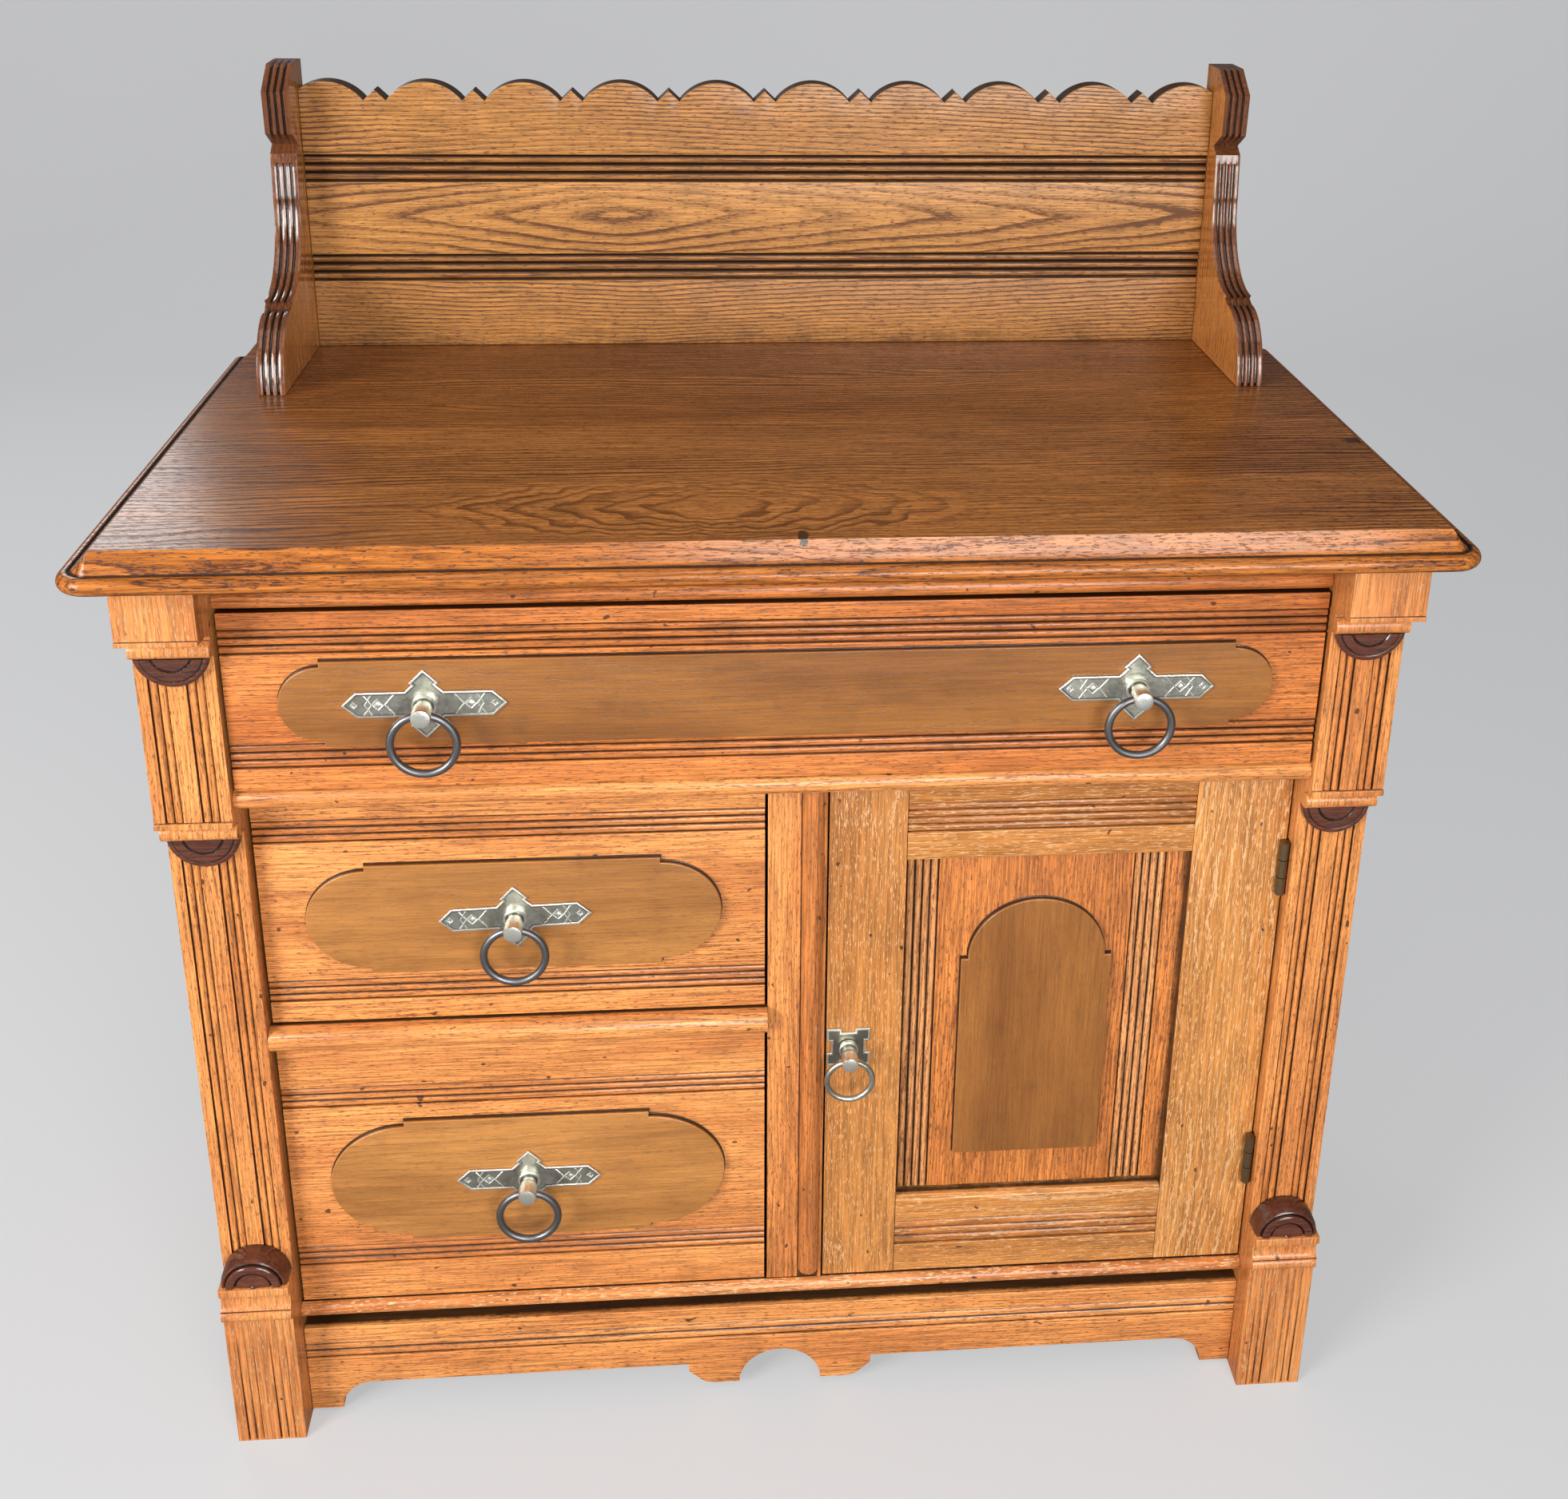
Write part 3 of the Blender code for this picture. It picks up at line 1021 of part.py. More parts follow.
def make_drawer(name, left, right, low, height, projection, strips, overlay, pulls):
    """A drawer that slides towards -Y: front, box, bottom, overlay and its ring pulls."""
    face = front(projection)
    front_low, front_high = low + SLIDE_GAP, low + height - SLIDE_GAP
    x0, x1 = left + DRAWER_SIDE_GAP, right - DRAWER_SIDE_GAP
    body = bpy.data.objects.new(name, None)
    body.location = ((x0 + x1) / 2, face, (front_low + front_high) / 2)
    washstand.objects.link(body)

    outline = drawer_front_outline(face, front_low, front_high, strips)
    add_piece(name + "_front", prism(outline, ACROSS_X, x0, x1), "case_wood", body)

    box_front = face + FRONT_THICKNESS + JOINT_GAP
    box_back = box_front + DRAWER_DEPTH
    left_x, right_x = x0 + BOX_INSET, x1 - BOX_INSET
    inner_left, inner_right, inner_back = left_x + BOX_WALL, right_x - BOX_WALL, box_back - BOX_WALL
    sides = [(left_x, box_front), (inner_left, box_front), (inner_left, inner_back)]
    sides += [(inner_right, inner_back), (inner_right, box_front), (right_x, box_front)]
    sides += [(right_x, box_back), (left_x, box_back)]
    box_low = low + JOINT_GAP
    bottom_low = front_low + BOTTOM_RAISE
    bottom_high = bottom_low + BOTTOM_THICKNESS
    walls = add_piece(
        name + "_box", prism(sides, ACROSS_Z, box_low, front_high - BOX_TOP_DROP), "inner_pine", body
    )
    reach = BOX_WALL - BOTTOM_GROOVE_DEPTH
    groove = box(
        (left_x + reach - JOINT_GAP, box_front - CUT_OVERRUN, bottom_low - JOINT_GAP),
        (right_x - reach + JOINT_GAP, box_back + CUT_OVERRUN, bottom_high + JOINT_GAP),
    )
    cut(walls, groove, name + "_groove")
    under = box(
        (inner_left, box_front - CUT_OVERRUN, box_low - CUT_OVERRUN),
        (inner_right, box_back + CUT_OVERRUN, bottom_high),
    )
    cut(walls, under, name + "_back_foot")

    bottom = box(
        (left_x + reach, face + FRONT_THICKNESS - BOTTOM_GROOVE_DEPTH, bottom_low),
        (right_x - reach, box_back, bottom_high),
    )
    add_piece(name + "_bottom", bottom, "inner_pine", body)

    middle_x = (left + right) / 2
    middle_z = (front_low + front_high) / 2 - overlay["drop"]
    half_length = (right - left) / 2 - overlay["end_margin"]
    overlay_face = face - JOINT_GAP - OVERLAY_THICKNESS
    outline = overlay_outline(middle_x, middle_z, half_length, overlay)
    plate = prism(outline, ACROSS_Y, overlay_face, face - JOINT_GAP)
    add_piece(name + "_overlay", plate, "overlay_wood", body)
    for word, offset, tilt in pulls:
        make_pull(name + word, (middle_x + offset, overlay_face - JOINT_GAP, middle_z), tilt, body)


def plate_outline():
    """(x, z) of the pull's back plate: a pointed bar with a stepped diamond across its middle."""
    bar = PLATE_HALF_LENGTH - PLATE_TIP_LENGTH
    neck_z = DIAMOND_REACH - DIAMOND_SHOULDER - DIAMOND_NECK_RISE
    crossing = DIAMOND_NECK + neck_z - PLATE_HALF_HEIGHT
    quarter = [(PLATE_HALF_LENGTH, 0.0), (bar, PLATE_HALF_HEIGHT), (crossing, PLATE_HALF_HEIGHT)]
    quarter += [(DIAMOND_NECK, neck_z), (DIAMOND_SHOULDER, DIAMOND_REACH - DIAMOND_SHOULDER)]
    quarter += [(0.0, DIAMOND_REACH)]
    upper = quarter + [(-a, b) for a, b in quarter[-2::-1]]
    return upper + [(-a, -b) for a, b in upper[1:-1]]


def post_profile(collar, neck, head, length, head_length, collar_length):
    """(radius, height) of a turned pull post, from the middle of its domed end down to its base."""
    shoulder = length - head_length
    profile = [(0.0, length), (head - PULL_HEAD_DOME * 2, length), (head, length - PULL_HEAD_DOME)]
    profile += [(head, shoulder), (neck, shoulder - (head - neck)), (neck, collar_length)]
    return profile + [(collar, collar_length * 2 / 3), (collar, 0.0), (0.0, 0.0)]


def make_pull(name, place, tilt, body):
    """A plate with its post, and the ring that hangs from a hole across the post's head. The tilt is
    the plate's own, in degrees, with its left end down."""
    x, back, z = place
    plate = prism(plate_outline(), ACROSS_Y, -PLATE_THICKNESS, 0.0)
    plate.transform(Matrix.Translation(place) @ Matrix.Rotation(math.radians(-tilt), 4, "Y"))
    pull = add_piece(name + "_pull", plate, "plate_nickel", body, place)
    profile = post_profile(
        PULL_COLLAR_RADIUS, PULL_NECK_RADIUS, PULL_HEAD_RADIUS, PULL_POST_LENGTH + PLATE_THICKNESS / 2,
        PULL_HEAD_LENGTH, PULL_COLLAR_LENGTH + PLATE_THICKNESS / 2,
    )
    post = turned(profile, TURNED_STEPS, (x, back - PLATE_THICKNESS / 2, z), FACING_FRONT)
    join(pull, post, name + "_post")
    axis_y = back - PLATE_THICKNESS - PULL_POST_LENGTH + PULL_HEAD_LENGTH / 2
    hole = cylinder(
        RING_HOLE_RADIUS, 2 * (PULL_HEAD_RADIUS + CUT_OVERRUN), HOLE_STEPS, (x, axis_y, z), FACING_RIGHT
    )
    cut(pull, hole, name + "_ring_hole")
    top = (x, axis_y, z)
    hoop = add_piece(name + "_ring", ring(RING_RADIUS, RING_WIRE_RADIUS, top), "ring_steel", body, top)
    smooth(hoop)


def make_drawers():
    spread = PULL_SPREAD_SHARE * OPENING_HALF
    pair = [("_left", -spread, 0.0), ("_right", spread, 0.0)]
    make_drawer(
        "long_drawer", -OPENING_HALF, OPENING_HALF, UPPER_OPENING_Z, UPPER_OPENING, LONG_DRAWER_PROJECTION,
        LONG_FRONT, LONG_OVERLAY, pair,
    )
    make_drawer(
        "upper_drawer", -OPENING_HALF, DIVIDER_LEFT, MIDDLE_OPENING_Z, MIDDLE_OPENING, 0.0,
        UPPER_FRONT, UPPER_OVERLAY, [("", 0.0, UPPER_PULL_TILT)],
    )
    make_drawer(
        "lower_drawer", -OPENING_HALF, DIVIDER_LEFT, LOWER_OPENING_Z, LOWER_OPENING, 0.0,
        LOWER_FRONT, LOWER_OVERLAY, [("", 0.0, 0.0)],
    )


def stile_outline(outer, inner):
    """(x, y) of a door stile with the panel's groove down its inner edge."""
    depth = math.copysign(DOOR_GROOVE_DEPTH, outer - inner)
    groove = (PANEL_Y - JOINT_GAP, PANEL_Y + DOOR_PANEL_THICKNESS + JOINT_GAP)
    back = FACE_Y + DOOR_THICKNESS
    points = [(outer, FACE_Y), (inner, FACE_Y), (inner, groove[0]), (inner + depth, groove[0])]
    return points + [(inner + depth, groove[1]), (inner, groove[1]), (inner, back), (outer, back)]


def rail_outline(outer, inner, bevel, reeds):
    """(y, z) of a door rail: reeds on its face, the panel's groove in its inner edge."""
    upward = math.copysign(1.0, outer - inner)
    groove = (PANEL_Y - JOINT_GAP, PANEL_Y + DOOR_PANEL_THICKNESS + JOINT_GAP)
    back = FACE_Y + DOOR_THICKNESS
    depth = inner + upward * DOOR_GROOVE_DEPTH
    line = [(FACE_Y + sunk, place) for place, sunk in reeds]
    if upward > 0:
        line = line[::-1]
    points = [(FACE_Y, outer)] + line + [(FACE_Y, inner + upward * bevel), (FACE_Y + bevel, inner)]
    if bevel == 0:
        points.pop()
    points += [(groove[0], inner), (groove[0], depth), (groove[1], depth), (groove[1], inner)]
    return points + [(back, inner), (back, outer)]


def make_door():
    body = bpy.data.objects.new("door", None)
    body.location = (HINGE_X, HINGE_Y, (DOOR_BOTTOM + DOOR_TOP) / 2)
    washstand.objects.link(body)

    latch_stile = add_piece(
        "door_latch_stile", prism(stile_outline(DOOR_LEFT, PANEL_LEFT), ACROSS_Z, DOOR_BOTTOM, DOOR_TOP),
        "case_wood", body,
    )
    bore = cylinder(
        SPINDLE_RADIUS + PIN_GAP, DOOR_THICKNESS + 2 * CUT_OVERRUN, HOLE_STEPS,
        (LATCH_X, FACE_Y + DOOR_THICKNESS / 2, LATCH_Z), FACING_FRONT,
    )
    cut(latch_stile, bore, "spindle_bore")

    hinge_stile = add_piece(
        "door_hinge_stile", prism(stile_outline(DOOR_RIGHT, PANEL_RIGHT), ACROSS_Z, DOOR_BOTTOM, DOOR_TOP),
        "case_wood", body,
    )
    for place, low in hinge_spans().items():
        mortise = box(
            (DOOR_RIGHT - LEAF_THICKNESS - JOINT_GAP, FACE_Y - CUT_OVERRUN, low - PIN_GAP),
            (DOOR_RIGHT + CUT_OVERRUN, HINGE_Y + LEAF_WIDTH + PIN_GAP, low + HINGE_LENGTH + PIN_GAP),
        )
        cut(hinge_stile, mortise, "door_mortise_" + place)

    ends = (PANEL_LEFT + JOINT_GAP, PANEL_RIGHT - JOINT_GAP)
    top_band = DRAWER_REED_PITCH * DOOR_TOP_REED_COUNT
    top_reeds = reed_line(
        DOOR_TOP - DOOR_TOP_REED_DROP - top_band, DRAWER_REED_PITCH, DOOR_TOP_REED_COUNT, REED_DEPTH, 0.0
    )
    top_rail = prism(rail_outline(DOOR_TOP, PANEL_TOP, 0.0, top_reeds), ACROSS_X, *ends)
    add_piece("door_top_rail", top_rail, "case_wood", body)
    bottom_band = DOOR_BOTTOM_REED_PITCH * DOOR_BOTTOM_REED_COUNT
    bottom_reeds = reed_line(
        PANEL_BOTTOM - DOOR_BOTTOM_REED_DROP - bottom_band, DOOR_BOTTOM_REED_PITCH, DOOR_BOTTOM_REED_COUNT,
        REED_DEPTH, 0.0,
    )
    bottom_rail = prism(rail_outline(DOOR_BOTTOM, PANEL_BOTTOM, DOOR_BEVEL, bottom_reeds), ACROSS_X, *ends)
    add_piece("door_bottom_rail", bottom_rail, "case_wood", body)

    tongue = DOOR_GROOVE_DEPTH - JOINT_GAP
    left, right = PANEL_LEFT - tongue, PANEL_RIGHT + tongue
    band = DRAWER_REED_PITCH * PANEL_REED_COUNT
    outline = [(left, PANEL_Y)]
    for start in (PANEL_LEFT + PANEL_REED_LEFT, PANEL_RIGHT - PANEL_REED_RIGHT - band):
        line = reed_line(start, DRAWER_REED_PITCH, PANEL_REED_COUNT, REED_DEPTH, 0.0)
        outline += [(place, PANEL_Y + depth) for place, depth in line]
    panel_back = PANEL_Y + DOOR_PANEL_THICKNESS
    outline += [(right, PANEL_Y), (right, panel_back), (left, panel_back)]
    panel = prism(outline, ACROSS_Z, PANEL_BOTTOM - tongue, PANEL_TOP + tongue)
    add_piece("door_panel", panel, "case_wood", body)
    make_arch(body)
    make_hinges(body)
    make_latch(body)


def make_arch(body):
    """The applied arch on the door panel, with a small step at each shoulder."""
    left = PANEL_LEFT + ARCH_LEFT
    right = left + ARCH_WIDTH
    foot = PANEL_BOTTOM + ARCH_FOOT
    shoulder = foot + ARCH_SHOULDER_HEIGHT
    middle = (left + right) / 2
    outline = [(left, foot), (right, foot), (right, shoulder)]
    outline += arc((middle, shoulder), (ARCH_WIDTH / 2 - ARCH_STEP, ARCH_RISE), 0, 180, OVERLAY_STEPS)
    outline += [(left, shoulder)]
    face = PANEL_Y - JOINT_GAP
    arch = prism(outline, ACROSS_Y, face - OVERLAY_THICKNESS, face)
    add_piece("door_overlay", arch, "overlay_wood", body)


def make_hinges(body):
    """Butt hinges: the case leaf carries the outer knuckles and the pin, the door leaf the middle one."""
    third = HINGE_LENGTH / 3
    for place, low in hinge_spans().items():
        high = low + HINGE_LENGTH
        case_leaf = box(
            (OPENING_HALF, HINGE_Y - KNUCKLE_RADIUS / 2, low),
            (OPENING_HALF + LEAF_THICKNESS, HINGE_Y + LEAF_WIDTH, high),
        )
        leaf = add_piece("case_hinge_leaf_" + place, case_leaf, "hinge_brass")
        pin = cylinder(
            KNUCKLE_BORE_RADIUS - PIN_GAP, HINGE_LENGTH - LEAF_ROOT, KNUCKLE_STEPS,
            (HINGE_X, HINGE_Y, low + HINGE_LENGTH / 2), FACING_UP,
        )
        join(leaf, pin, "pin_" + place)
        for end, start in (("foot", low), ("head", high - third + PIN_GAP)):
            centre = (HINGE_X, HINGE_Y, start + (third - PIN_GAP) / 2)
            join(
                leaf, cylinder(KNUCKLE_RADIUS, third - PIN_GAP, KNUCKLE_STEPS, centre, FACING_UP),
                "case_knuckle_" + end + "_" + place,
            )
            root = box(
                (HINGE_X, HINGE_Y - LEAF_ROOT / 2, start),
                (OPENING_HALF + LEAF_THICKNESS / 2, HINGE_Y + LEAF_ROOT / 2, start + third - PIN_GAP),
            )
            join(leaf, root, "case_root_" + end + "_" + place)
        cut(
            leaf,
            box(
                (OPENING_HALF - LEAF_THICKNESS, HINGE_Y - KNUCKLE_RADIUS - LEAF_ROOT, low + third),
                (OPENING_HALF, HINGE_Y + KNUCKLE_RADIUS, high - third),
            ),
            "knuckle_space_" + place,
        )
        door_leaf = box(
            (DOOR_RIGHT - LEAF_THICKNESS, HINGE_Y + KNUCKLE_RADIUS / 2, low),
            (DOOR_RIGHT, HINGE_Y + LEAF_WIDTH, high),
        )
        swing = add_piece("door_hinge_leaf_" + place, door_leaf, "hinge_brass", body)
        middle = (HINGE_X, HINGE_Y, low + HINGE_LENGTH / 2)
        join(
            swing, cylinder(KNUCKLE_RADIUS, third - 2 * PIN_GAP, KNUCKLE_STEPS, middle, FACING_UP),
            "door_knuckle_" + place,
        )
        cut(
            swing, cylinder(KNUCKLE_BORE_RADIUS, HINGE_LENGTH, KNUCKLE_STEPS, middle, FACING_UP),
            "knuckle_bore_" + place,
        )
        for end, start in (("foot", low - PIN_GAP), ("head", high - third - PIN_GAP)):
            clear = cylinder(
                KNUCKLE_RADIUS + PIN_GAP, third + 2 * PIN_GAP, KNUCKLE_STEPS,
                (HINGE_X, HINGE_Y, start + third / 2 + PIN_GAP), FACING_UP,
            )
            cut(swing, clear, "knuckle_clear_" + end + "_" + place)


def make_latch(body):
    """A square notched plate, and a turned post that carries a ring and turns a tongue behind the door."""
    back = FACE_Y - JOINT_GAP
    half, notch, depth = LATCH_PLATE_HALF, LATCH_NOTCH_HALF, LATCH_NOTCH_DEPTH
    side = [(half, -half), (half, -notch), (half - depth, -notch), (half - depth, notch), (half, notch)]
    outline = []
    for turn in range(4):
        outline += side
        side = [(-b, a) for a, b in side]
    points = [(LATCH_X + a, LATCH_Z + b) for a, b in outline]
    plate = add_piece(
        "latch_plate", prism(points, ACROSS_Y, back - PLATE_THICKNESS, back), "plate_nickel", body
    )
    bore = cylinder(
        SPINDLE_RADIUS + PIN_GAP, PLATE_THICKNESS + 2 * CUT_OVERRUN, HOLE_STEPS, (LATCH_X, back, LATCH_Z),
        FACING_FRONT,
    )
    cut(plate, bore, "plate_bore")

    base = back - PLATE_THICKNESS - PIN_GAP
    tongue_front = FACE_Y + DOOR_THICKNESS + TONGUE_GAP
    tongue_back = tongue_front + TONGUE_THICKNESS
    profile = post_profile(
        LATCH_COLLAR_RADIUS, LATCH_NECK_RADIUS, LATCH_HEAD_RADIUS, LATCH_POST_LENGTH, LATCH_HEAD_LENGTH,
        LATCH_COLLAR_LENGTH,
    )
    spindle = base - tongue_back
    profile = profile[:-1] + [(SPINDLE_RADIUS, 0.0), (SPINDLE_RADIUS, spindle), (0.0, spindle)]
    turn_mesh = turned(profile, TURNED_STEPS, (LATCH_X, base, LATCH_Z), FACING_FRONT)
    turn = add_piece("latch_turn", turn_mesh, "plate_nickel", body, (LATCH_X, FACE_Y, LATCH_Z))
    tongue = box(
        (LATCH_X - TONGUE_WIDTH / 2, tongue_front, LATCH_Z - TONGUE_LENGTH),
        (LATCH_X + TONGUE_WIDTH / 2, tongue_back + JOINT_GAP, LATCH_Z + TONGUE_WIDTH / 2),
    )
    join(turn, tongue, "tongue")
    axis_y = base - LATCH_POST_LENGTH + LATCH_HEAD_LENGTH / 2
    hole = cylinder(
        LATCH_HOLE_RADIUS, 2 * (LATCH_HEAD_RADIUS + CUT_OVERRUN), HOLE_STEPS, (LATCH_X, axis_y, LATCH_Z),
        FACING_RIGHT,
    )
    cut(turn, hole, "latch_ring_hole")
    hoop = add_piece(
        "latch_ring", ring(LATCH_RING_RADIUS, LATCH_WIRE_RADIUS, (LATCH_X, axis_y, LATCH_Z)), "ring_steel",
        body, (LATCH_X, axis_y, LATCH_Z),
    )
    smooth(hoop)


clear_scene()
washstand = new_collection("washstand")
cutters = new_collection("cutters")
materials = {name: new_material(name, *look) for name, look in MATERIALS.items()}
make_top()
make_splash()
make_brackets()
make_posts()
make_roundels()
make_sides()
make_rails()
make_apron()
make_divider()
make_boards()
make_drawers()
make_door()
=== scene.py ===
import math

import bmesh
import bpy
import numpy as np
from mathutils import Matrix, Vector


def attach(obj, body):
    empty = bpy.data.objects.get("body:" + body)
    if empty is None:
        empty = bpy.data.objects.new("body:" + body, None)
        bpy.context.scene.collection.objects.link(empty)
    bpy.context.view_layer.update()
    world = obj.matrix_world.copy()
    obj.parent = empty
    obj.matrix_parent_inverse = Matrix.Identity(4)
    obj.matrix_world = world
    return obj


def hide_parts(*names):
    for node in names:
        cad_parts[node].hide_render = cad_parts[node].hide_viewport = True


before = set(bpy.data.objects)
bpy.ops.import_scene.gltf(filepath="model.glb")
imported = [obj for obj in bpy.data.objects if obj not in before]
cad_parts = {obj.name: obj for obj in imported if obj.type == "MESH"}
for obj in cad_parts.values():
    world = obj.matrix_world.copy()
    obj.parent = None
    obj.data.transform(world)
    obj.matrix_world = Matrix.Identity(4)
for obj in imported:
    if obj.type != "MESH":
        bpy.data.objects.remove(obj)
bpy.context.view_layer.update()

# Where the stand's pieces lie, in metres
FACE_Y, BACK_Y, TOP_BACK_Y = -0.129, 0.209, 0.219
OPENING_HALF, CASE_HALF = 0.353, 0.402
CASE_HEIGHT, SURFACE_Z = 0.715, 0.740
POST_WIDTH, POST_BACK, RAIL_BACK = 0.049, 0.034, 0.020
TOP_RAIL_Z, UPPER_OPENING_Z, UPPER_RAIL_Z = 0.676, 0.5495, 0.536
MIDDLE_OPENING_Z, LOWER_RAIL_Z = 0.351, 0.333
LOWER_OPENING_Z, BOTTOM_RAIL_Z, APRON_HEIGHT = 0.1045, 0.0934, 0.081
DIVIDER_LEFT, DIVIDER_RIGHT = -0.0102, 0.0304
DOOR_LEFT, DOOR_RIGHT = 0.0316, 0.3518
DOOR_BOTTOM, DOOR_TOP = 0.1057, 0.5348
PANEL_LEFT, PANEL_RIGHT = 0.0852, 0.2856
PANEL_BOTTOM, PANEL_TOP = 0.1747, 0.4668
PANEL_Y = FACE_Y + 0.009
SIDES = ((-1, "left"), (1, "right"))

# Sizes that come up in many pieces: the gap between two pieces, the distance under which points are one,
# the reeds, and how edges and ends are rounded
JOINT, WELD = 0.0003, 0.00001
REED_DEPTH, REED_CREST, REED_PITCH = 0.0026, 0.0003, 0.0058
ARRIS, END_ROUND, EASE_SHARE = 0.0007, 0.00022, 0.42
SHARP = math.radians(34.0)
OVERLAY, PLATE = 0.004, 0.0015

# How dark the ends in a joint are painted, as painted shade in the gap, how far back from a face that painted
# shade starts, and how far from the heart of its tree a board is cut: along, across and into it
JOINT_SHADE, JOINT_SHADE_SET_BACK = 0.9, 0.0015
TREE_SPREAD = (3, 0.2, 0.03)

chance = np.random.default_rng(1890)


# Outlines and sections

def front(projection):
    """The Y of a surface that stands this far in front of the face plane."""
    return FACE_Y - projection


def join(*parts):
    """One array of numbers or points from several."""
    return np.concatenate([np.asarray(part, float) for part in parts])


def arc(centre, radii, start, stop, steps):
    """Points (centre + radius cos, centre + radius sin) on an ellipse, angles in degrees, ends included."""
    angle = np.radians(np.linspace(start, stop, steps + 1))
    return np.stack([centre[0] + radii[0] * np.cos(angle), centre[1] + radii[1] * np.sin(angle)], axis=1)


def reeds(start, pitch, count, depth=REED_DEPTH, margin=0.0005, steps=12):
    """(place, depth) across a band of half-round reeds that stand in a sunk band: the place runs as
    (1 - cos) / 2 of each reed's width while the depth falls from the band's floor by a sine. A flat strip
    of the floor shows beside the first and the last reed."""
    turn = np.linspace(0.0, math.pi, steps + 1)
    width = pitch - 2 * margin / count
    place = start + margin + width * (np.arange(count)[:, None] + (1 - np.cos(turn)) / 2)
    sunk = depth - (depth - REED_CREST) * np.sin(turn) * np.ones((count, 1))
    end = start + pitch * count
    line = np.stack([place.ravel(), sunk.ravel()], axis=1)
    return join([(start, 0.0), (start, depth)], line, [(end, depth), (end, 0.0)])


def sunk_dark(line, depth=REED_DEPTH):
    """How dark each point of a band of reeds is painted, as dark polish and painted shade in the grooves: the
    root of its share of the depth under the crests.
    """
    return (np.clip((line[:, 1] - REED_CREST) / (depth - REED_CREST), 0.0, 1.0) ** 0.48).tolist()


def eased(points, radius=ARRIS, deep=None, steps=4, least=22.0):
    """A closed outline with its sharp corners rounded: each becomes a quadratic curve from a point
    before it to a point after it. Gives the points, how dark each one is painted in the inner corners (dark
    polish and painted shade) and how light on the outer corners (rubbed wear and painted highlight)."""
    points = np.asarray(points, float)
    deep = np.zeros(len(points)) if deep is None else np.asarray(deep, float)
    apart = np.linalg.norm(points - np.roll(points, 1, axis=0), axis=1) > WELD
    points, deep = points[apart], deep[apart]
    before, after = points - np.roll(points, 1, axis=0), np.roll(points, -1, axis=0) - points
    long_before, long_after = np.linalg.norm(before, axis=1), np.linalg.norm(after, axis=1)
    to, away = before / long_before[:, None], after / long_after[:, None]
    turn = np.arctan2(to[:, 0] * away[:, 1] - to[:, 1] * away[:, 0], (to * away).sum(axis=1))
    hand = math.copysign(1.0, turn.sum())
    sharp = np.abs(turn) > math.radians(least)
    cut = (np.minimum(radius, EASE_SHARE * np.minimum(long_before, long_after)) * sharp)[:, None, None]
    share = np.linspace(0.0, 1.0, steps + 1)[None, :, None]
    corner = points[:, None, :]
    curve = (1 - share) ** 2 * (corner - to[:, None, :] * cut)
    curve = curve + 2 * share * (1 - share) * corner + share ** 2 * (corner + away[:, None, :] * cut)
    swell = np.sin(math.pi * share[:, :, 0])
    keep = (sharp[:, None] | (np.arange(steps + 1) == 0)[None, :]).ravel()
    worn_and_lit = (sharp & (turn * hand > 0))[:, None] * swell
    hollow = np.maximum(deep[:, None], (sharp & (turn * hand < 0))[:, None] * (0.35 + 0.65 * swell))
    hollow = hollow * np.ones_like(swell)
    return curve.reshape(-1, 2)[keep], np.clip(hollow.ravel()[keep], 0, 1), worn_and_lit.ravel()[keep]


def within(values, *spans):
    """1 where a value lies in one of the spans, 0 elsewhere."""
    return np.max([(values > low) & (values < high) for low, high in spans], axis=0).astype(float)


def outward(points):
    """The direction square to a closed outline at each point, pointing out, longer at sharp corners so
    that every side moves by the same amount."""
    before, after = points - np.roll(points, 1, axis=0), np.roll(points, -1, axis=0) - points
    before = before / np.maximum(np.linalg.norm(before, axis=1), 1e-9)[:, None]
    after = after / np.maximum(np.linalg.norm(after, axis=1), 1e-9)[:, None]
    along = before + after
    along = along / np.maximum(np.linalg.norm(along, axis=1), 1e-9)[:, None]
    reach = 1 / np.clip((along * before).sum(axis=1), 0.45, 1.0)
    following = np.roll(points, -1, axis=0)
    area = (points[:, 0] * following[:, 1] - points[:, 1] * following[:, 0]).sum()
    return np.stack([along[:, 1], -along[:, 0]], axis=1) * math.copysign(1.0, area) * reach[:, None]


def stations(low, high, inner=(), radius=END_ROUND, steps=3):
    """Places along a bar and how far its section draws in at each: a quarter round at both ends, so that
    the inner places lie after the first four and before the last four."""
    turn = np.linspace(0.0, math.pi / 2, steps + 1)
    foot, drawn = radius * (1 - np.sin(turn)), radius * (1 - np.cos(turn))
    return join((low + foot)[::-1], inner, high - foot), join(drawn[::-1], np.zeros(len(inner)), drawn)


# Pieces

def quads(index):
    """Four-sided faces between the rows of a grid of point numbers."""
    corners = [index[:-1, :-1], index[:-1, 1:], index[1:, 1:], index[1:, :-1]]
    return np.stack(corners, axis=-1).reshape(-1, 4).tolist()


def doubled(values):
    """The values with the first and the last of them twice."""
    return np.concatenate([values[:1], values, values[-1:]])


def turned_by(x, z, degrees):
    """The place (x, z) turned about the origin."""
    turn = math.radians(degrees)
    return x * math.cos(turn) - z * math.sin(turn), x * math.sin(turn) + z * math.cos(turn)


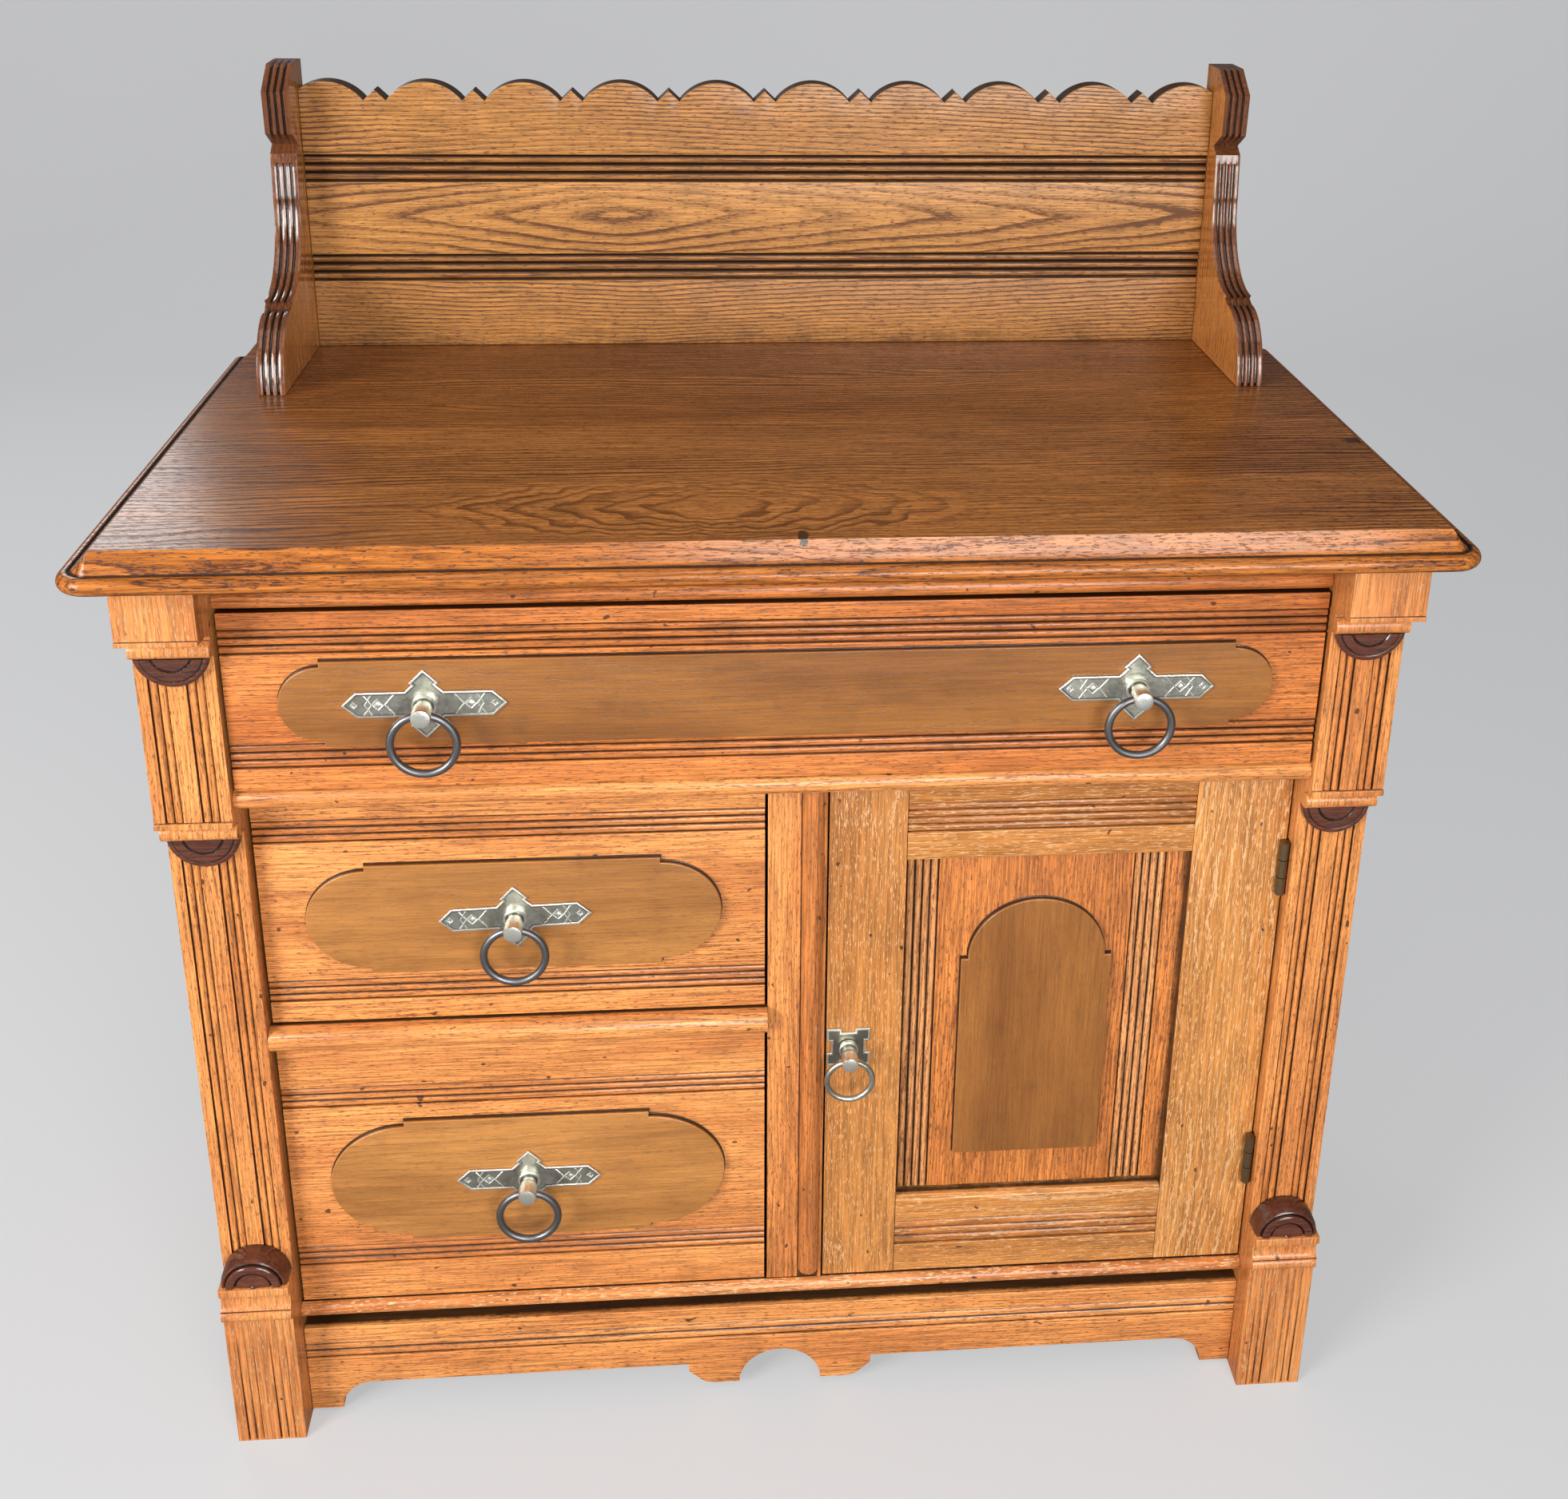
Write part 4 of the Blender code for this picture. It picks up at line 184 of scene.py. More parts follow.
class Draft:
    """The surfaces of one piece while it is drawn, with three marks on every point: how dark it is painted in
    hollows, creases and gaps (dark polish and painted shade), how light its edge is painted (rubbed wear and
    painted highlight), and how far it takes the material's second colour or, below nought, its pale flecks,
    which the case wood also darkens as painted shade."""

    def __init__(self):
        self.points, self.faces, self.count = [], [], 0
        self.marks = {"hollow": [], "edge": [], "trim": []}

    def grid(self, points, hollow, worn_and_lit, trim=0.0, around=True, across=False, filled=True):
        """Rows of points joined into four-sided faces, closed round each row or from last row to first. The
        first and the last row can be filled in."""
        shape = points.shape[:2]
        index = np.arange(shape[0] * shape[1]).reshape(shape) + self.count
        self.count += index.size
        joined = np.concatenate([index, index[:, :1]], axis=1) if around else index
        if across:
            joined = np.concatenate([joined, joined[:1]], axis=0)
        self.faces += quads(joined)
        self.points.append(points.reshape(-1, 3))
        for label, values in zip(self.marks, (hollow, worn_and_lit, trim)):
            self.marks[label].append((values * np.ones(shape)).ravel())
        if filled:
            self.faces += [index[0].tolist(), index[-1].tolist()]
        return index

    def bar(self, section, axis, places, insets, sunk=None, zone=None, shift=None, share=None, trim=0.0,
            bare_ends=False):
        """A closed section carried along an axis. It draws in at the ends, sinks by sunk times zone for
        grooves that run the other way, and its second coordinate moves by shift times share. Its ends are
        painted dark, as painted shade in the gap of a joint, unless they are bare."""
        points, hollow, worn_and_lit = section
        places, insets = doubled(places), doubled(insets)
        insets[[0, -1]] += 3 * WELD
        inward = insets[:, None] * np.ones(len(points))
        rim = (inward > 0) * np.minimum(inward / END_ROUND, 1.0)
        deep = hollow[None, :] * np.ones((len(places), 1))
        if sunk is not None:
            sunk = doubled(sunk)[:, None]
            inward = inward + sunk * zone
            # Grooves that run across are painted dark as well: dark polish and painted shade.
            deep = np.maximum(deep, (sunk / REED_DEPTH) ** 0.8 * zone)
        # Painted shade: the joint ends and their rounding are painted dark, as in a gap.
        deep = np.maximum(deep, JOINT_SHADE * rim * (not bare_ends))
        deep[[0, -1]], rim[[0, -1]] = JOINT_SHADE * (not bare_ends), 0.0
        trim = trim * np.ones(deep.shape)
        if bare_ends:
            trim[[0, -1]] = 0.0
        flat = points - outward(points) * inward[:, :, None]
        if shift is not None:
            flat[:, :, 1] += doubled(shift)[:, None] * share
        sides = [flat[:, :, 0], flat[:, :, 1]]
        sides.insert("xyz".index(axis), places[:, None] * np.ones(len(points)))
        worn_and_lit = np.maximum(worn_and_lit, rim)
        worn_and_lit[[0, -1]] = 0.0
        self.grid(np.stack(sides, axis=-1), np.clip(deep, 0, 1), worn_and_lit, trim)
        return self

    def plain(self, low, high, axis, radius=ARRIS):
        """A board with eased corners between two opposite corners, its length along an axis."""
        run = "xyz".index(axis)
        a, b = [index for index in range(3) if index != run]
        outline = [(low[a], low[b]), (high[a], low[b]), (high[a], high[b]), (low[a], high[b])]
        return self.bar(eased(outline, radius), axis, *stations(low[run], high[run]))

    def sheet(self, outline, back, profile, tilt=0.0, about=(0.0, 0.0), trim=0.0):
        """A flat outline, turned about a point, given an edge profile: (drawn in, height, how dark as polish
        and painted shade, how light as rubbed wear and painted highlight) from the back edge over the face.
        The last ring and the first are filled in."""
        outline, profile = np.asarray(outline, float), np.asarray(profile, float)
        flat = outline - outward(outline) * profile[:, 0, None, None]
        x, z = turned_by(flat[:, :, 0] - about[0], flat[:, :, 1] - about[1], tilt)
        y = back - profile[:, 1, None] * np.ones(len(outline))
        points = np.stack([about[0] + x, y, about[1] + z], axis=-1)
        self.grid(points, profile[:, 2, None], profile[:, 3, None], trim)
        return self

    def turned(self, profile, centre, steps=48):
        """A profile of (radius, height) points turned about an axis that faces the front: x and z are
        radius times cosine and sine, y is the centre's less the height."""
        points, hollow, worn_and_lit = profile
        turn = np.linspace(0.0, 2 * math.pi, steps, endpoint=False)
        x = centre[0] + points[:, :1] * np.cos(turn)
        z = centre[2] + points[:, :1] * np.sin(turn)
        y = centre[1] - points[:, 1:] * np.ones(steps)
        self.grid(np.stack([x, y, z], axis=-1), hollow[:, None], worn_and_lit[:, None], filled=False)
        return self

    def hoop(self, radius, wire, top, dull=0.0, around=96, about=20):
        """A ring of round wire that hangs from its top: the wire's circle carried round a larger one."""
        turn = np.linspace(0.0, 2 * math.pi, around, endpoint=False)[:, None]
        roll = np.linspace(0.0, 2 * math.pi, about, endpoint=False)[None, :]
        reach = radius + wire * np.cos(roll)
        x, z = top[0] + reach * np.sin(turn), top[2] - radius + reach * np.cos(turn)
        y = top[1] + wire * np.sin(roll) * np.ones_like(turn)
        self.grid(np.stack([x, y, z], axis=-1), dull, 0.0, across=True, filled=False)
        return self

    def finish(self, name, material, nodes, body="case", along="x", out="y", heart=None):
        """Welds the piece, turns its faces outward and gives it its marks: grain runs along the board,
        across it and into it, from a place in the tree picked for this board."""
        points = np.concatenate(self.points)
        mesh = bpy.data.meshes.new(name)
        mesh.from_pydata(points, [], self.faces)
        across = "xyz".replace(along, "").replace(out, "")
        grain = points[:, ["xyz".index(letter) for letter in (along, across, out)]]
        if heart is None:
            heart = [chance.uniform(-reach, reach) for reach in TREE_SPREAD]
        for label, values in self.marks.items():
            values = np.concatenate(values).astype(np.float32)
            mesh.attributes.new(label, "FLOAT", "POINT").data.foreach_set("value", values)
        layer = mesh.attributes.new("grain", "FLOAT_VECTOR", "POINT")
        layer.data.foreach_set("vector", (grain + heart).astype(np.float32).ravel())
        shape = bmesh.new()
        shape.from_mesh(mesh)
        bmesh.ops.remove_doubles(shape, verts=shape.verts, dist=WELD)
        open_edges = [edge for edge in shape.edges if len(edge.link_faces) == 1]
        if open_edges:
            bmesh.ops.holes_fill(shape, edges=open_edges, sides=0)
        bmesh.ops.recalc_face_normals(shape, faces=shape.faces)
        shape.to_mesh(mesh)
        shape.free()
        mesh.shade_smooth()
        mesh.set_sharp_from_angle(angle=SHARP)
        mesh.materials.append(materials[material])
        obj = bpy.data.objects.new(name, mesh)
        bpy.context.scene.collection.objects.link(obj)
        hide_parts(*nodes)
        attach(obj, body)


# Materials

class Graph:
    """A node tree while it is built. Each method adds a node, and most give the socket of its result."""

    def __init__(self, tree):
        self.tree = tree

    def put(self, value, socket):
        """Links the value to a socket or sets it there. Colours come without alpha."""
        if isinstance(value, bpy.types.NodeSocket):
            self.tree.links.new(value, socket)
        else:
            socket.default_value = (*value, 1.0) if socket.type == "RGBA" else value

    def node(self, kind, inputs=None, **settings):
        """A node with its settings, and its inputs by name or number."""
        made = self.tree.nodes.new(kind)
        for key, value in settings.items():
            setattr(made, key, value)
        for key, value in (inputs or {}).items():
            self.put(value, made.inputs[key])
        return made

    def maths(self, operation, *values, clamp=False):
        made = self.node("ShaderNodeMath", dict(enumerate(values)), operation=operation, use_clamp=clamp)
        return made.outputs[0]

    def plus(self, first, second):
        return self.maths("ADD", first, second)

    def minus(self, first, second):
        return self.maths("SUBTRACT", first, second)

    def times(self, first, second):
        return self.maths("MULTIPLY", first, second)

    def times_plus(self, value, factor, extra, clamp=False):
        return self.maths("MULTIPLY_ADD", value, factor, extra, clamp=clamp)

    def vector(self, operation, *values):
        made = self.node("ShaderNodeVectorMath", dict(enumerate(values)), operation=operation)
        return made.outputs["Value" if operation == "LENGTH" else "Vector"]

    def scaled(self, vector, factor):
        return self.node("ShaderNodeVectorMath", {0: vector, 3: factor}, operation="SCALE").outputs["Vector"]

    def ramp(self, value, low, high, to_low=0.0, to_high=1.0):
        """The value carried smoothly from one range to another and held at the ends."""
        inputs = {"Value": value, "From Min": low, "From Max": high, "To Min": to_low, "To Max": to_high}
        return self.node("ShaderNodeMapRange", inputs, interpolation_type="SMOOTHSTEP").outputs["Result"]

    def mix(self, share, first, second, blend="MIX"):
        inputs = {0: share, 6: first, 7: second}
        return self.node("ShaderNodeMix", inputs, data_type="RGBA", blend_type=blend).outputs[2]

    def noise(self, vector, scale, detail=2.0, rough=0.5):
        """Noise at one scale, or at a scale for each direction."""
        if isinstance(scale, tuple):
            vector = self.node("ShaderNodeMapping", {"Vector": vector, "Scale": scale}).outputs["Vector"]
            scale = 1.0
        inputs = {"Vector": vector, "Scale": scale, "Detail": detail, "Roughness": rough}
        return self.node("ShaderNodeTexNoise", inputs).outputs["Fac"]

    def place(self):
        return self.node("ShaderNodeTexCoord").outputs["Object"]

    def camera_ray(self):
        return self.node("ShaderNodeLightPath").outputs["Is Camera Ray"]

    def mark(self, name, output="Fac"):
        """One of the marks that each piece has on its points."""
        return self.node("ShaderNodeAttribute", attribute_name=name).outputs[output]

    def group(self, made, inputs):
        return self.node("ShaderNodeGroup", inputs, node_tree=made).outputs


class Group(Graph):
    """A node group with named vector and number inputs, read by name. The method give sets its outputs."""

    def __init__(self, name, vectors, numbers, outputs):
        super().__init__(bpy.data.node_groups.new(name, "ShaderNodeTree"))
        sides = [("INPUT", "Vector", vectors), ("INPUT", "Float", numbers), ("OUTPUT", "Float", outputs)]
        for side, kind, labels in sides:
            for label in labels:
                self.tree.interface.new_socket(label, in_out=side, socket_type="NodeSocket" + kind)
        self.start, self.end = self.node("NodeGroupInput"), self.node("NodeGroupOutput")

    def __getitem__(self, label):
        return self.start.outputs[label]

    def give(self, **outputs):
        for label, value in outputs.items():
            self.put(value, self.end.inputs[label])
        return self.tree


FIGURE = {"Rings": 260.0, "Slant": 0.05, "Waver": 0.02, "Heart": 0.02, "Pore Size": 1.0, "Uneven": 0.022,
          "Gather": 0.12, "Point": 0.0, "Tight": 0.0, "Curl": 0.0, "Bow": 0.5}


def make_board_figure():
    """Growth rings round a slanting heart, pores drawn out along the grain, fine fibre and slow tone.

    Waver and Curl sway the lines slowly and quickly, Bow bends the depth under the heart by a power (0.5
    keeps it), Point draws the loops out to points, Tight sets the outer rings closer, Uneven varies their
    width, and Gather thickens the pores along each ring. The rings fade in slow patches and in the heart."""
    g = Group("board figure", ["Grain"], list(FIGURE), ["Ring", "Pore", "Fibre", "Tone"])
    grain = g["Grain"]
    along, across, into = g.node("ShaderNodeSeparateXYZ", {0: grain}).outputs
    slow = g.noise(grain, (5.0, 16.0, 16.0))
    crimp = g.noise(grain, (38.0, 30.0, 30.0), 1.0)
    sway = g.times_plus(g.minus(crimp, 0.5), g["Curl"], g.times(g.minus(slow, 0.5), g["Waver"]))
    across = g.plus(across, sway)
    tree_half = 0.15
    depth = g.maths("PINGPONG", g.plus(g.plus(into, g.times(along, g["Slant"])), g["Heart"]), tree_half)
    depth = g.maths("POWER", g.times_plus(depth, depth, 1.5e-8), g["Bow"])
    side = g.node("ShaderNodeCombineXYZ", {0: across, 1: depth, 2: 0.0}).outputs[0]
    radius = g.vector("LENGTH", side)
    rounded = g.maths("SQRT", g.times_plus(depth, depth, 0.0001))
    pointed = g.minus(g.plus(g.maths("ABSOLUTE", across), rounded), radius)
    radius = g.times_plus(pointed, g["Point"], radius)
    radius = g.times_plus(g.times(radius, radius), g["Tight"], radius)
    jitter = g.noise(grain, (18.0, 140.0, 140.0), rough=0.6)
    drift = g.noise(grain, (2.0, 30.0, 30.0), 1.0)
    radius = g.plus(radius, g.times_plus(jitter, 0.0018, g.times(drift, g["Uneven"])))
    phase = g.maths("FRACT", g.times(radius, g["Rings"]))
    line = g.times(g.ramp(phase, 0.38, 0.90), g.ramp(phase, 0.92, 1.0, 1.0, 0.0))
    faint = g.ramp(g.noise(grain, (3.0, 9.0, 9.0), 1.0), 0.36, 0.62, 0.45, 1.0)
    ring = g.times(line, g.times(faint, g.ramp(radius, 0.008, 0.013)))
    dashes = g.noise(g.scaled(grain, g["Pore Size"]), (170.0, 1250.0, 1250.0), rough=0.65)
    early = g.times(g.maths("POWER", ring, 2.5), g["Gather"])
    return g.give(
        Ring=ring, Pore=g.ramp(g.plus(dashes, early), 0.575, 0.655),
        Fibre=g.noise(grain, (26.0, 800.0, 800.0), 3.0, 0.6),
        Tone=g.noise(grain, (3.5, 22.0, 22.0), 3.0, 0.55))


def make_old_finish():
    """Where the hollows, creases and gaps are darkened, partly as dark polish gathered there and partly as
    painted shade, and where the corners are lightened, partly as rubbed wear and partly as painted highlight.
    """
    g = Group("old finish", ["Place"], ["Hollow", "Edge"], ["Glaze", "Rubbed", "Grime"])
    patches = g.noise(g["Place"], 38.0, 3.0, 0.6)
    lumps = g.times_plus(patches, 0.26, g.times(g.noise(g["Place"], 260.0, rough=0.6), 0.24))
    return g.give(
        Glaze=g.ramp(g.plus(g["Hollow"], g.minus(lumps, 0.25)), 0.34, 0.78),
        Rubbed=g.ramp(g.plus(g["Edge"], g.minus(lumps, 0.30)), 0.55, 1.1), Grime=g.ramp(patches, 0.52, 0.75))


def make_dark_mark():
    """A knot, a nick or a plug: a ragged spot of the given size round a place."""
    g = Group("dark mark", ["Place", "Centre", "Size"], [], ["Mark"])
    reach = g.vector("LENGTH", g.vector("DIVIDE", g.vector("SUBTRACT", g["Place"], g["Centre"]), g["Size"]))
    ragged = g.times(g.minus(g.noise(g["Place"], 420.0, rough=0.6), 0.5), 1.1)
    return g.give(Mark=g.ramp(g.plus(reach, ragged), 0.75, 1.1, 1.0, 0.0))


def new_material(name, **sockets):
    """A new material, its node tree as a graph, and its shader with some sockets set."""
    material = bpy.data.materials.new(name)
    material.use_nodes = True
    shader = material.node_tree.nodes["Principled BSDF"]
    for key, value in sockets.items():
        shader.inputs[key.replace("_", " ")].default_value = value
    return material, Graph(material.node_tree), shader


def add_bump(g, shader, height, strength, distance):
    bump = g.node("ShaderNodeBump", {"Strength": strength, "Distance": distance, "Height": height})
    g.put(bump.outputs["Normal"], shader.inputs["Normal"])


def lighter(colour, factor, more=0.0):
    return tuple(min(1.0, part * factor + more) for part in colour)


PORE = (0.110, 0.033, 0.008)
GLAZE_AND_SHADE = (0.020, 0.008, 0.004)
CREAM = (0.86, 0.56, 0.29)


def make_wood(name, pale, deep, pore=PORE, figure=None, glaze_and_shade=GLAZE_AND_SHADE, trim=None, flecks=None, trim_flecks=None,
              lines=0.40, pores=0.8, streak=(0.60, 1.30), rough=(0.30, 0.46), coat=0.20, specular=0.45,
              bright=0.35, speckled=0.0, mottle=0.0, boards=None, eye=None, marks=(), turn=None):
    """Polished wood: pale and deep colour by ring and tone, pores, hollows and gaps darkened (dark polish and
    painted shade) and corners lightened (rubbed wear and painted highlight).

    Lines is the rings' share of the depth of colour, streak the fibre's range of shade. Where the piece is
    marked as trim it takes a pair of colours of its own, and below nought flecks for dark pores and, with trim
    flecks, a darker colour as painted shade. Boards is the width of the boards that a piece is glued up from,
    each darker than the one before. Eye is the place and size of a swirl in the figure. Turn lays the grain in
    a part without marks of its own."""
    material, g, shader = new_material(
        name, Coat_Weight=coat, Coat_Roughness=0.13, Specular_IOR_Level=specular)
    if turn is None:
        grain, hollow, edge = g.mark("grain", "Vector"), g.mark("hollow"), g.mark("edge")
    else:
        grain = g.node("ShaderNodeMapping", {"Vector": g.place(), "Rotation": turn}).outputs["Vector"]
        hollow = edge = 0.0
    if boards:
        across = g.node("ShaderNodeSeparateXYZ", {0: grain}).outputs["Y"]
        number = g.maths("FLOOR", g.maths("DIVIDE", across, boards))
        pick = g.node("ShaderNodeTexWhiteNoise", {"W": number}, noise_dimensions="1D").outputs["Color"]
        grain = g.vector("ADD", grain, g.scaled(pick, 0.35))
    own = {**FIGURE, **(figure or {})}
    drawn = g.group(board_figure, {"Grain": grain, **own})
    ring, pit, fibre, tone = (drawn[label] for label in ("Ring", "Pore", "Fibre", "Tone"))
    finish = g.group(old_finish, {"Place": grain, "Hollow": hollow, "Edge": edge})
    if eye:
        centre, size = eye
        spot = g.vector("SUBTRACT", g.place(), centre)
        own.update(Rings=115.0, Slant=0.32, Waver=0.05, Heart=0.0, Uneven=0.004, Point=0.2, Curl=0.030)
        rounds = g.times(g.group(board_figure, {"Grain": spot, **own})["Ring"], 1.7)
        inside = g.ramp(g.vector("LENGTH", g.vector("DIVIDE", spot, size)), 0.75, 1.1, 1.0, 0.0)
        ring = g.times_plus(g.minus(rounds, ring), inside, ring)
    depth = g.times_plus(ring, lines, g.times(g.ramp(tone, 0.3, 0.7), 1.0 - lines))
    if boards:
        depth = g.times_plus(number, 0.13, depth, clamp=True)
    if eye:
        depth = g.times_plus(inside, -0.20, depth, clamp=True)
    if mottle:
        cloud = g.ramp(g.noise(grain, (16.0, 42.0, 42.0), 3.0, 0.6), 0.3, 0.7)
        depth = g.times_plus(g.minus(cloud, 0.5), mottle, depth, clamp=True)
    trimmed = g.mark("trim")
    # Painted shade: where pale flecks are marked, the colour is also darkened.
    if trim_flecks:
        flecked = g.maths("MAXIMUM", g.times(trimmed, -1.0), 0.0)
        depth = g.times_plus(flecked, 0.35, depth, clamp=True)
    colour = g.mix(depth, pale, deep)
    if trim:
        colour = g.mix(g.maths("MAXIMUM", trimmed, 0.0), colour, g.mix(depth, *trim))
    streaks = g.ramp(fibre, 0.3, 0.72, *streak)
    shade = g.node("ShaderNodeCombineColor", {0: streaks, 1: streaks, 2: streaks}).outputs[0]
    colour = g.mix(1.0, colour, shade, "MULTIPLY")
    in_pores = g.mix(flecked, pore, trim_flecks) if trim_flecks else flecks or pore
    colour = g.mix(g.times(pit, pores), colour, in_pores)
    specks = g.ramp(g.noise(grain, (100.0, 140.0, 140.0), 1.0), 0.755, 0.772)
    spots = [(finish["Grime"], 0.15), (specks, speckled)]
    for centre, size, strength in marks:
        mark = g.group(dark_mark, {"Place": g.place(), "Centre": centre, "Size": size})["Mark"]
        spots.append((mark, strength))
    for spot, strength in spots:
        colour = g.mix(g.times(spot, strength), colour, glaze_and_shade)
    # Rubbed wear and painted highlight: the corners take a lighter colour.
    colour = g.mix(g.times(finish["Rubbed"], bright), colour, lighter(pale, 1.5, 0.03))
    # Dark polish and painted shade: hollows, creases and gaps take the dark glaze colour.
    colour = g.mix(g.times(finish["Glaze"], 0.93), colour, glaze_and_shade)
    g.put(colour, shader.inputs["Base Color"])
    g.put(g.ramp(g.plus(g.times(tone, 0.5), g.times(pit, 0.5)), 0.2, 0.8, *rough), shader.inputs["Roughness"])
    height = g.times_plus(tone, 3.0, g.times_plus(fibre, 0.25, g.times(pit, -1.0)))
    add_bump(g, shader, height, 0.35, 0.0003)
    return material


def make_metal(name, pale, dark, rough, pitted=0.0003, aged=0.35):
    """Old plated metal: darker in patches and in the hollows (tarnish and painted shade), brighter on the
    corners (rubbed wear and painted highlight), finely pitted.
    """
    material, g, shader = new_material(name, Metallic=1.0)
    place = g.place()
    finish = g.group(old_finish, {"Place": place, "Hollow": g.mark("hollow"), "Edge": g.mark("edge")})
    pits, slow = g.noise(place, 1700.0, rough=0.6), g.noise(place, 60.0, 3.0, 0.6)
    colour = g.mix(g.times(g.ramp(slow, 0.35, 0.7), aged), pale, dark)
    colour = g.mix(g.times(g.ramp(pits, 0.5, 0.75), 0.45), colour, dark)
    colour = g.mix(finish["Glaze"], colour, dark)
    colour = g.mix(g.times(finish["Rubbed"], 0.6), colour, lighter(pale, 1.3))
    g.put(colour, shader.inputs["Base Color"])
    g.put(g.ramp(slow, 0.3, 0.75, *rough), shader.inputs["Roughness"])
    add_bump(g, shader, pits, 0.5, pitted)
    return material


board_figure = make_board_figure()
old_finish = make_old_finish()
dark_mark = make_dark_mark()

# A nick in the front edge, a knot, a plug and two small bruises on the edge: place, size and strength
TOP_MARKS = (
    ((0.007, -0.201, 0.739), (0.0035, 0.0095, 0.0060), 0.95),
    ((0.400, -0.048, 0.740), (0.010, 0.006, 0.004), 0.75),
    ((-0.383, -0.0465, 0.740), (0.006, 0.004, 0.004), 0.5),
    ((-0.028, -0.2135, 0.733), (0.010, 0.0015, 0.0015), 0.8),
    ((0.236, -0.2155, 0.729), (0.006, 0.0015, 0.0015), 0.7),
)
materials = {
    "case": make_wood(
        "polished ash", (0.77, 0.310, 0.088), (0.47, 0.148, 0.037), (0.13, 0.038, 0.009), trim_flecks=CREAM,
        lines=0.30, pores=0.75, trim=((0.66, 0.235, 0.058), (0.39, 0.115, 0.025)), speckled=0.8),
    "red": make_wood(
        "redder ash", (0.66, 0.222, 0.055), (0.39, 0.104, 0.023), (0.12, 0.033, 0.008), lines=0.30,
        trim=((0.54, 0.172, 0.038), (0.31, 0.082, 0.017)), pores=0.75, speckled=0.8, coat=0.14,
        specular=0.38),
    "block": make_wood(
        "flecked ash", (0.59, 0.252, 0.064), (0.34, 0.122, 0.026), flecks=(0.82, 0.51, 0.25), pores=0.55,
        figure={"Rings": 165.0, "Waver": 0.05, "Pore Size": 0.85, "Gather": 0.21}, lines=0.35, speckled=0.8,
        trim=((0.44, 0.155, 0.033), (0.26, 0.078, 0.015))),
    "panel": make_wood(
        "darker ash", (0.62, 0.210, 0.048), (0.36, 0.104, 0.021), (0.15, 0.046, 0.011), lines=0.45, pores=0.9,
        figure={"Rings": 380.0, "Slant": 0.02}, streak=(0.55, 1.32),
        trim=((0.74, 0.330, 0.125), (0.46, 0.170, 0.048))),
    "top": make_wood(
        "top board ash", (0.44, 0.160, 0.039), (0.098, 0.025, 0.006), (0.045, 0.012, 0.004), lines=0.72,
        figure={"Rings": 210.0, "Waver": 0.03, "Gather": 0.20}, boards=0.110, streak=(0.55, 1.36),
        trim=((0.44, 0.145, 0.028), (0.24, 0.067, 0.012)), marks=TOP_MARKS, coat=0.06, specular=0.28,
        pores=0.85, rough=(0.20, 0.32), eye=((-0.050, -0.152, 0.740), (0.180, 0.050, 0.05))),
    "splash": make_wood(
        "splash ash", (0.46, 0.212, 0.060), (0.17, 0.062, 0.016), (0.09, 0.028, 0.007), lines=0.78,
        figure={"Rings": -116.0, "Slant": 0.0038, "Waver": 0.014, "Heart": 0.0, "Pore Size": 0.8,
                "Uneven": 0.006, "Gather": 0.30, "Point": 0.22, "Tight": 9.0, "Curl": 0.0015, "Bow": 0.25},
        coat=0.05, specular=0.30, streak=(0.62, 1.30), pores=0.85,
        trim=((0.33, 0.136, 0.034), (0.15, 0.056, 0.014))),
    "bracket": make_wood(
        "bracket ash", (0.62, 0.250, 0.060), (0.40, 0.125, 0.024), rough=(0.16, 0.30), coat=0.5,
        trim=((0.185, 0.060, 0.021), (0.072, 0.023, 0.010))),
    "walnut": make_wood(
        "dark walnut", (0.125, 0.034, 0.016), (0.055, 0.015, 0.008), (0.012, 0.005, 0.003), {"Rings": 300.0},
        (0.008, 0.004, 0.003), bright=0.2, rough=(0.22, 0.36), coat=0.3),
    "overlay": make_wood(
        "overlay wood", (0.48, 0.208, 0.052), (0.29, 0.114, 0.025), (0.14, 0.048, 0.012),
        {"Rings": 120.0, "Waver": 0.03}, pores=0.35, rough=(0.28, 0.44), lines=0.10, mottle=0.24,
        trim=((0.31, 0.120, 0.026), (0.19, 0.066, 0.013)), streak=(0.84, 1.12)),
    "nickel": make_metal("worn nickel", (0.97, 0.99, 0.89), (0.28, 0.27, 0.22), (0.26, 0.40), aged=0.28),
    "steel": make_metal("dark steel", (0.22, 0.218, 0.222), (0.07, 0.066, 0.068), (0.34, 0.50), 0.00008),
    "brass": make_metal("dull brass", (0.25, 0.18, 0.10), (0.07, 0.05, 0.03), (0.36, 0.52), 0.0001),
}
for axis, word, tint, shaded, turn in (
        ("x", "lengthwise", (0.62, 0.43, 0.23), (0.45, 0.27, 0.12), (0.0, 0.0, 0.0)),
        ("y", "front to back", (0.60, 0.41, 0.22), (0.44, 0.26, 0.12), (0.0, 0.0, math.pi / 2)),
        ("z", "upright", (0.60, 0.41, 0.22), (0.44, 0.26, 0.12), (0.0, math.pi / 2, 0.0))):
    materials["pine_" + axis] = make_wood(
        "inner pine " + word, tint, shaded, (0.30, 0.17, 0.07), {"Rings": 160.0}, pores=0.2, rough=(0.5, 0.7),
        coat=0.0, turn=turn)
SLOTS = {
    **dict.fromkeys(("case", "red", "block", "panel"), "case_wood"),
    "top": "top_wood", "splash": "splash_wood", "bracket": "bracket_wood", "walnut": "roundel_walnut",
    "overlay": "overlay_wood", "pine_z": "inner_pine", "nickel": "plate_nickel", "steel": "ring_steel",
}


# The top board

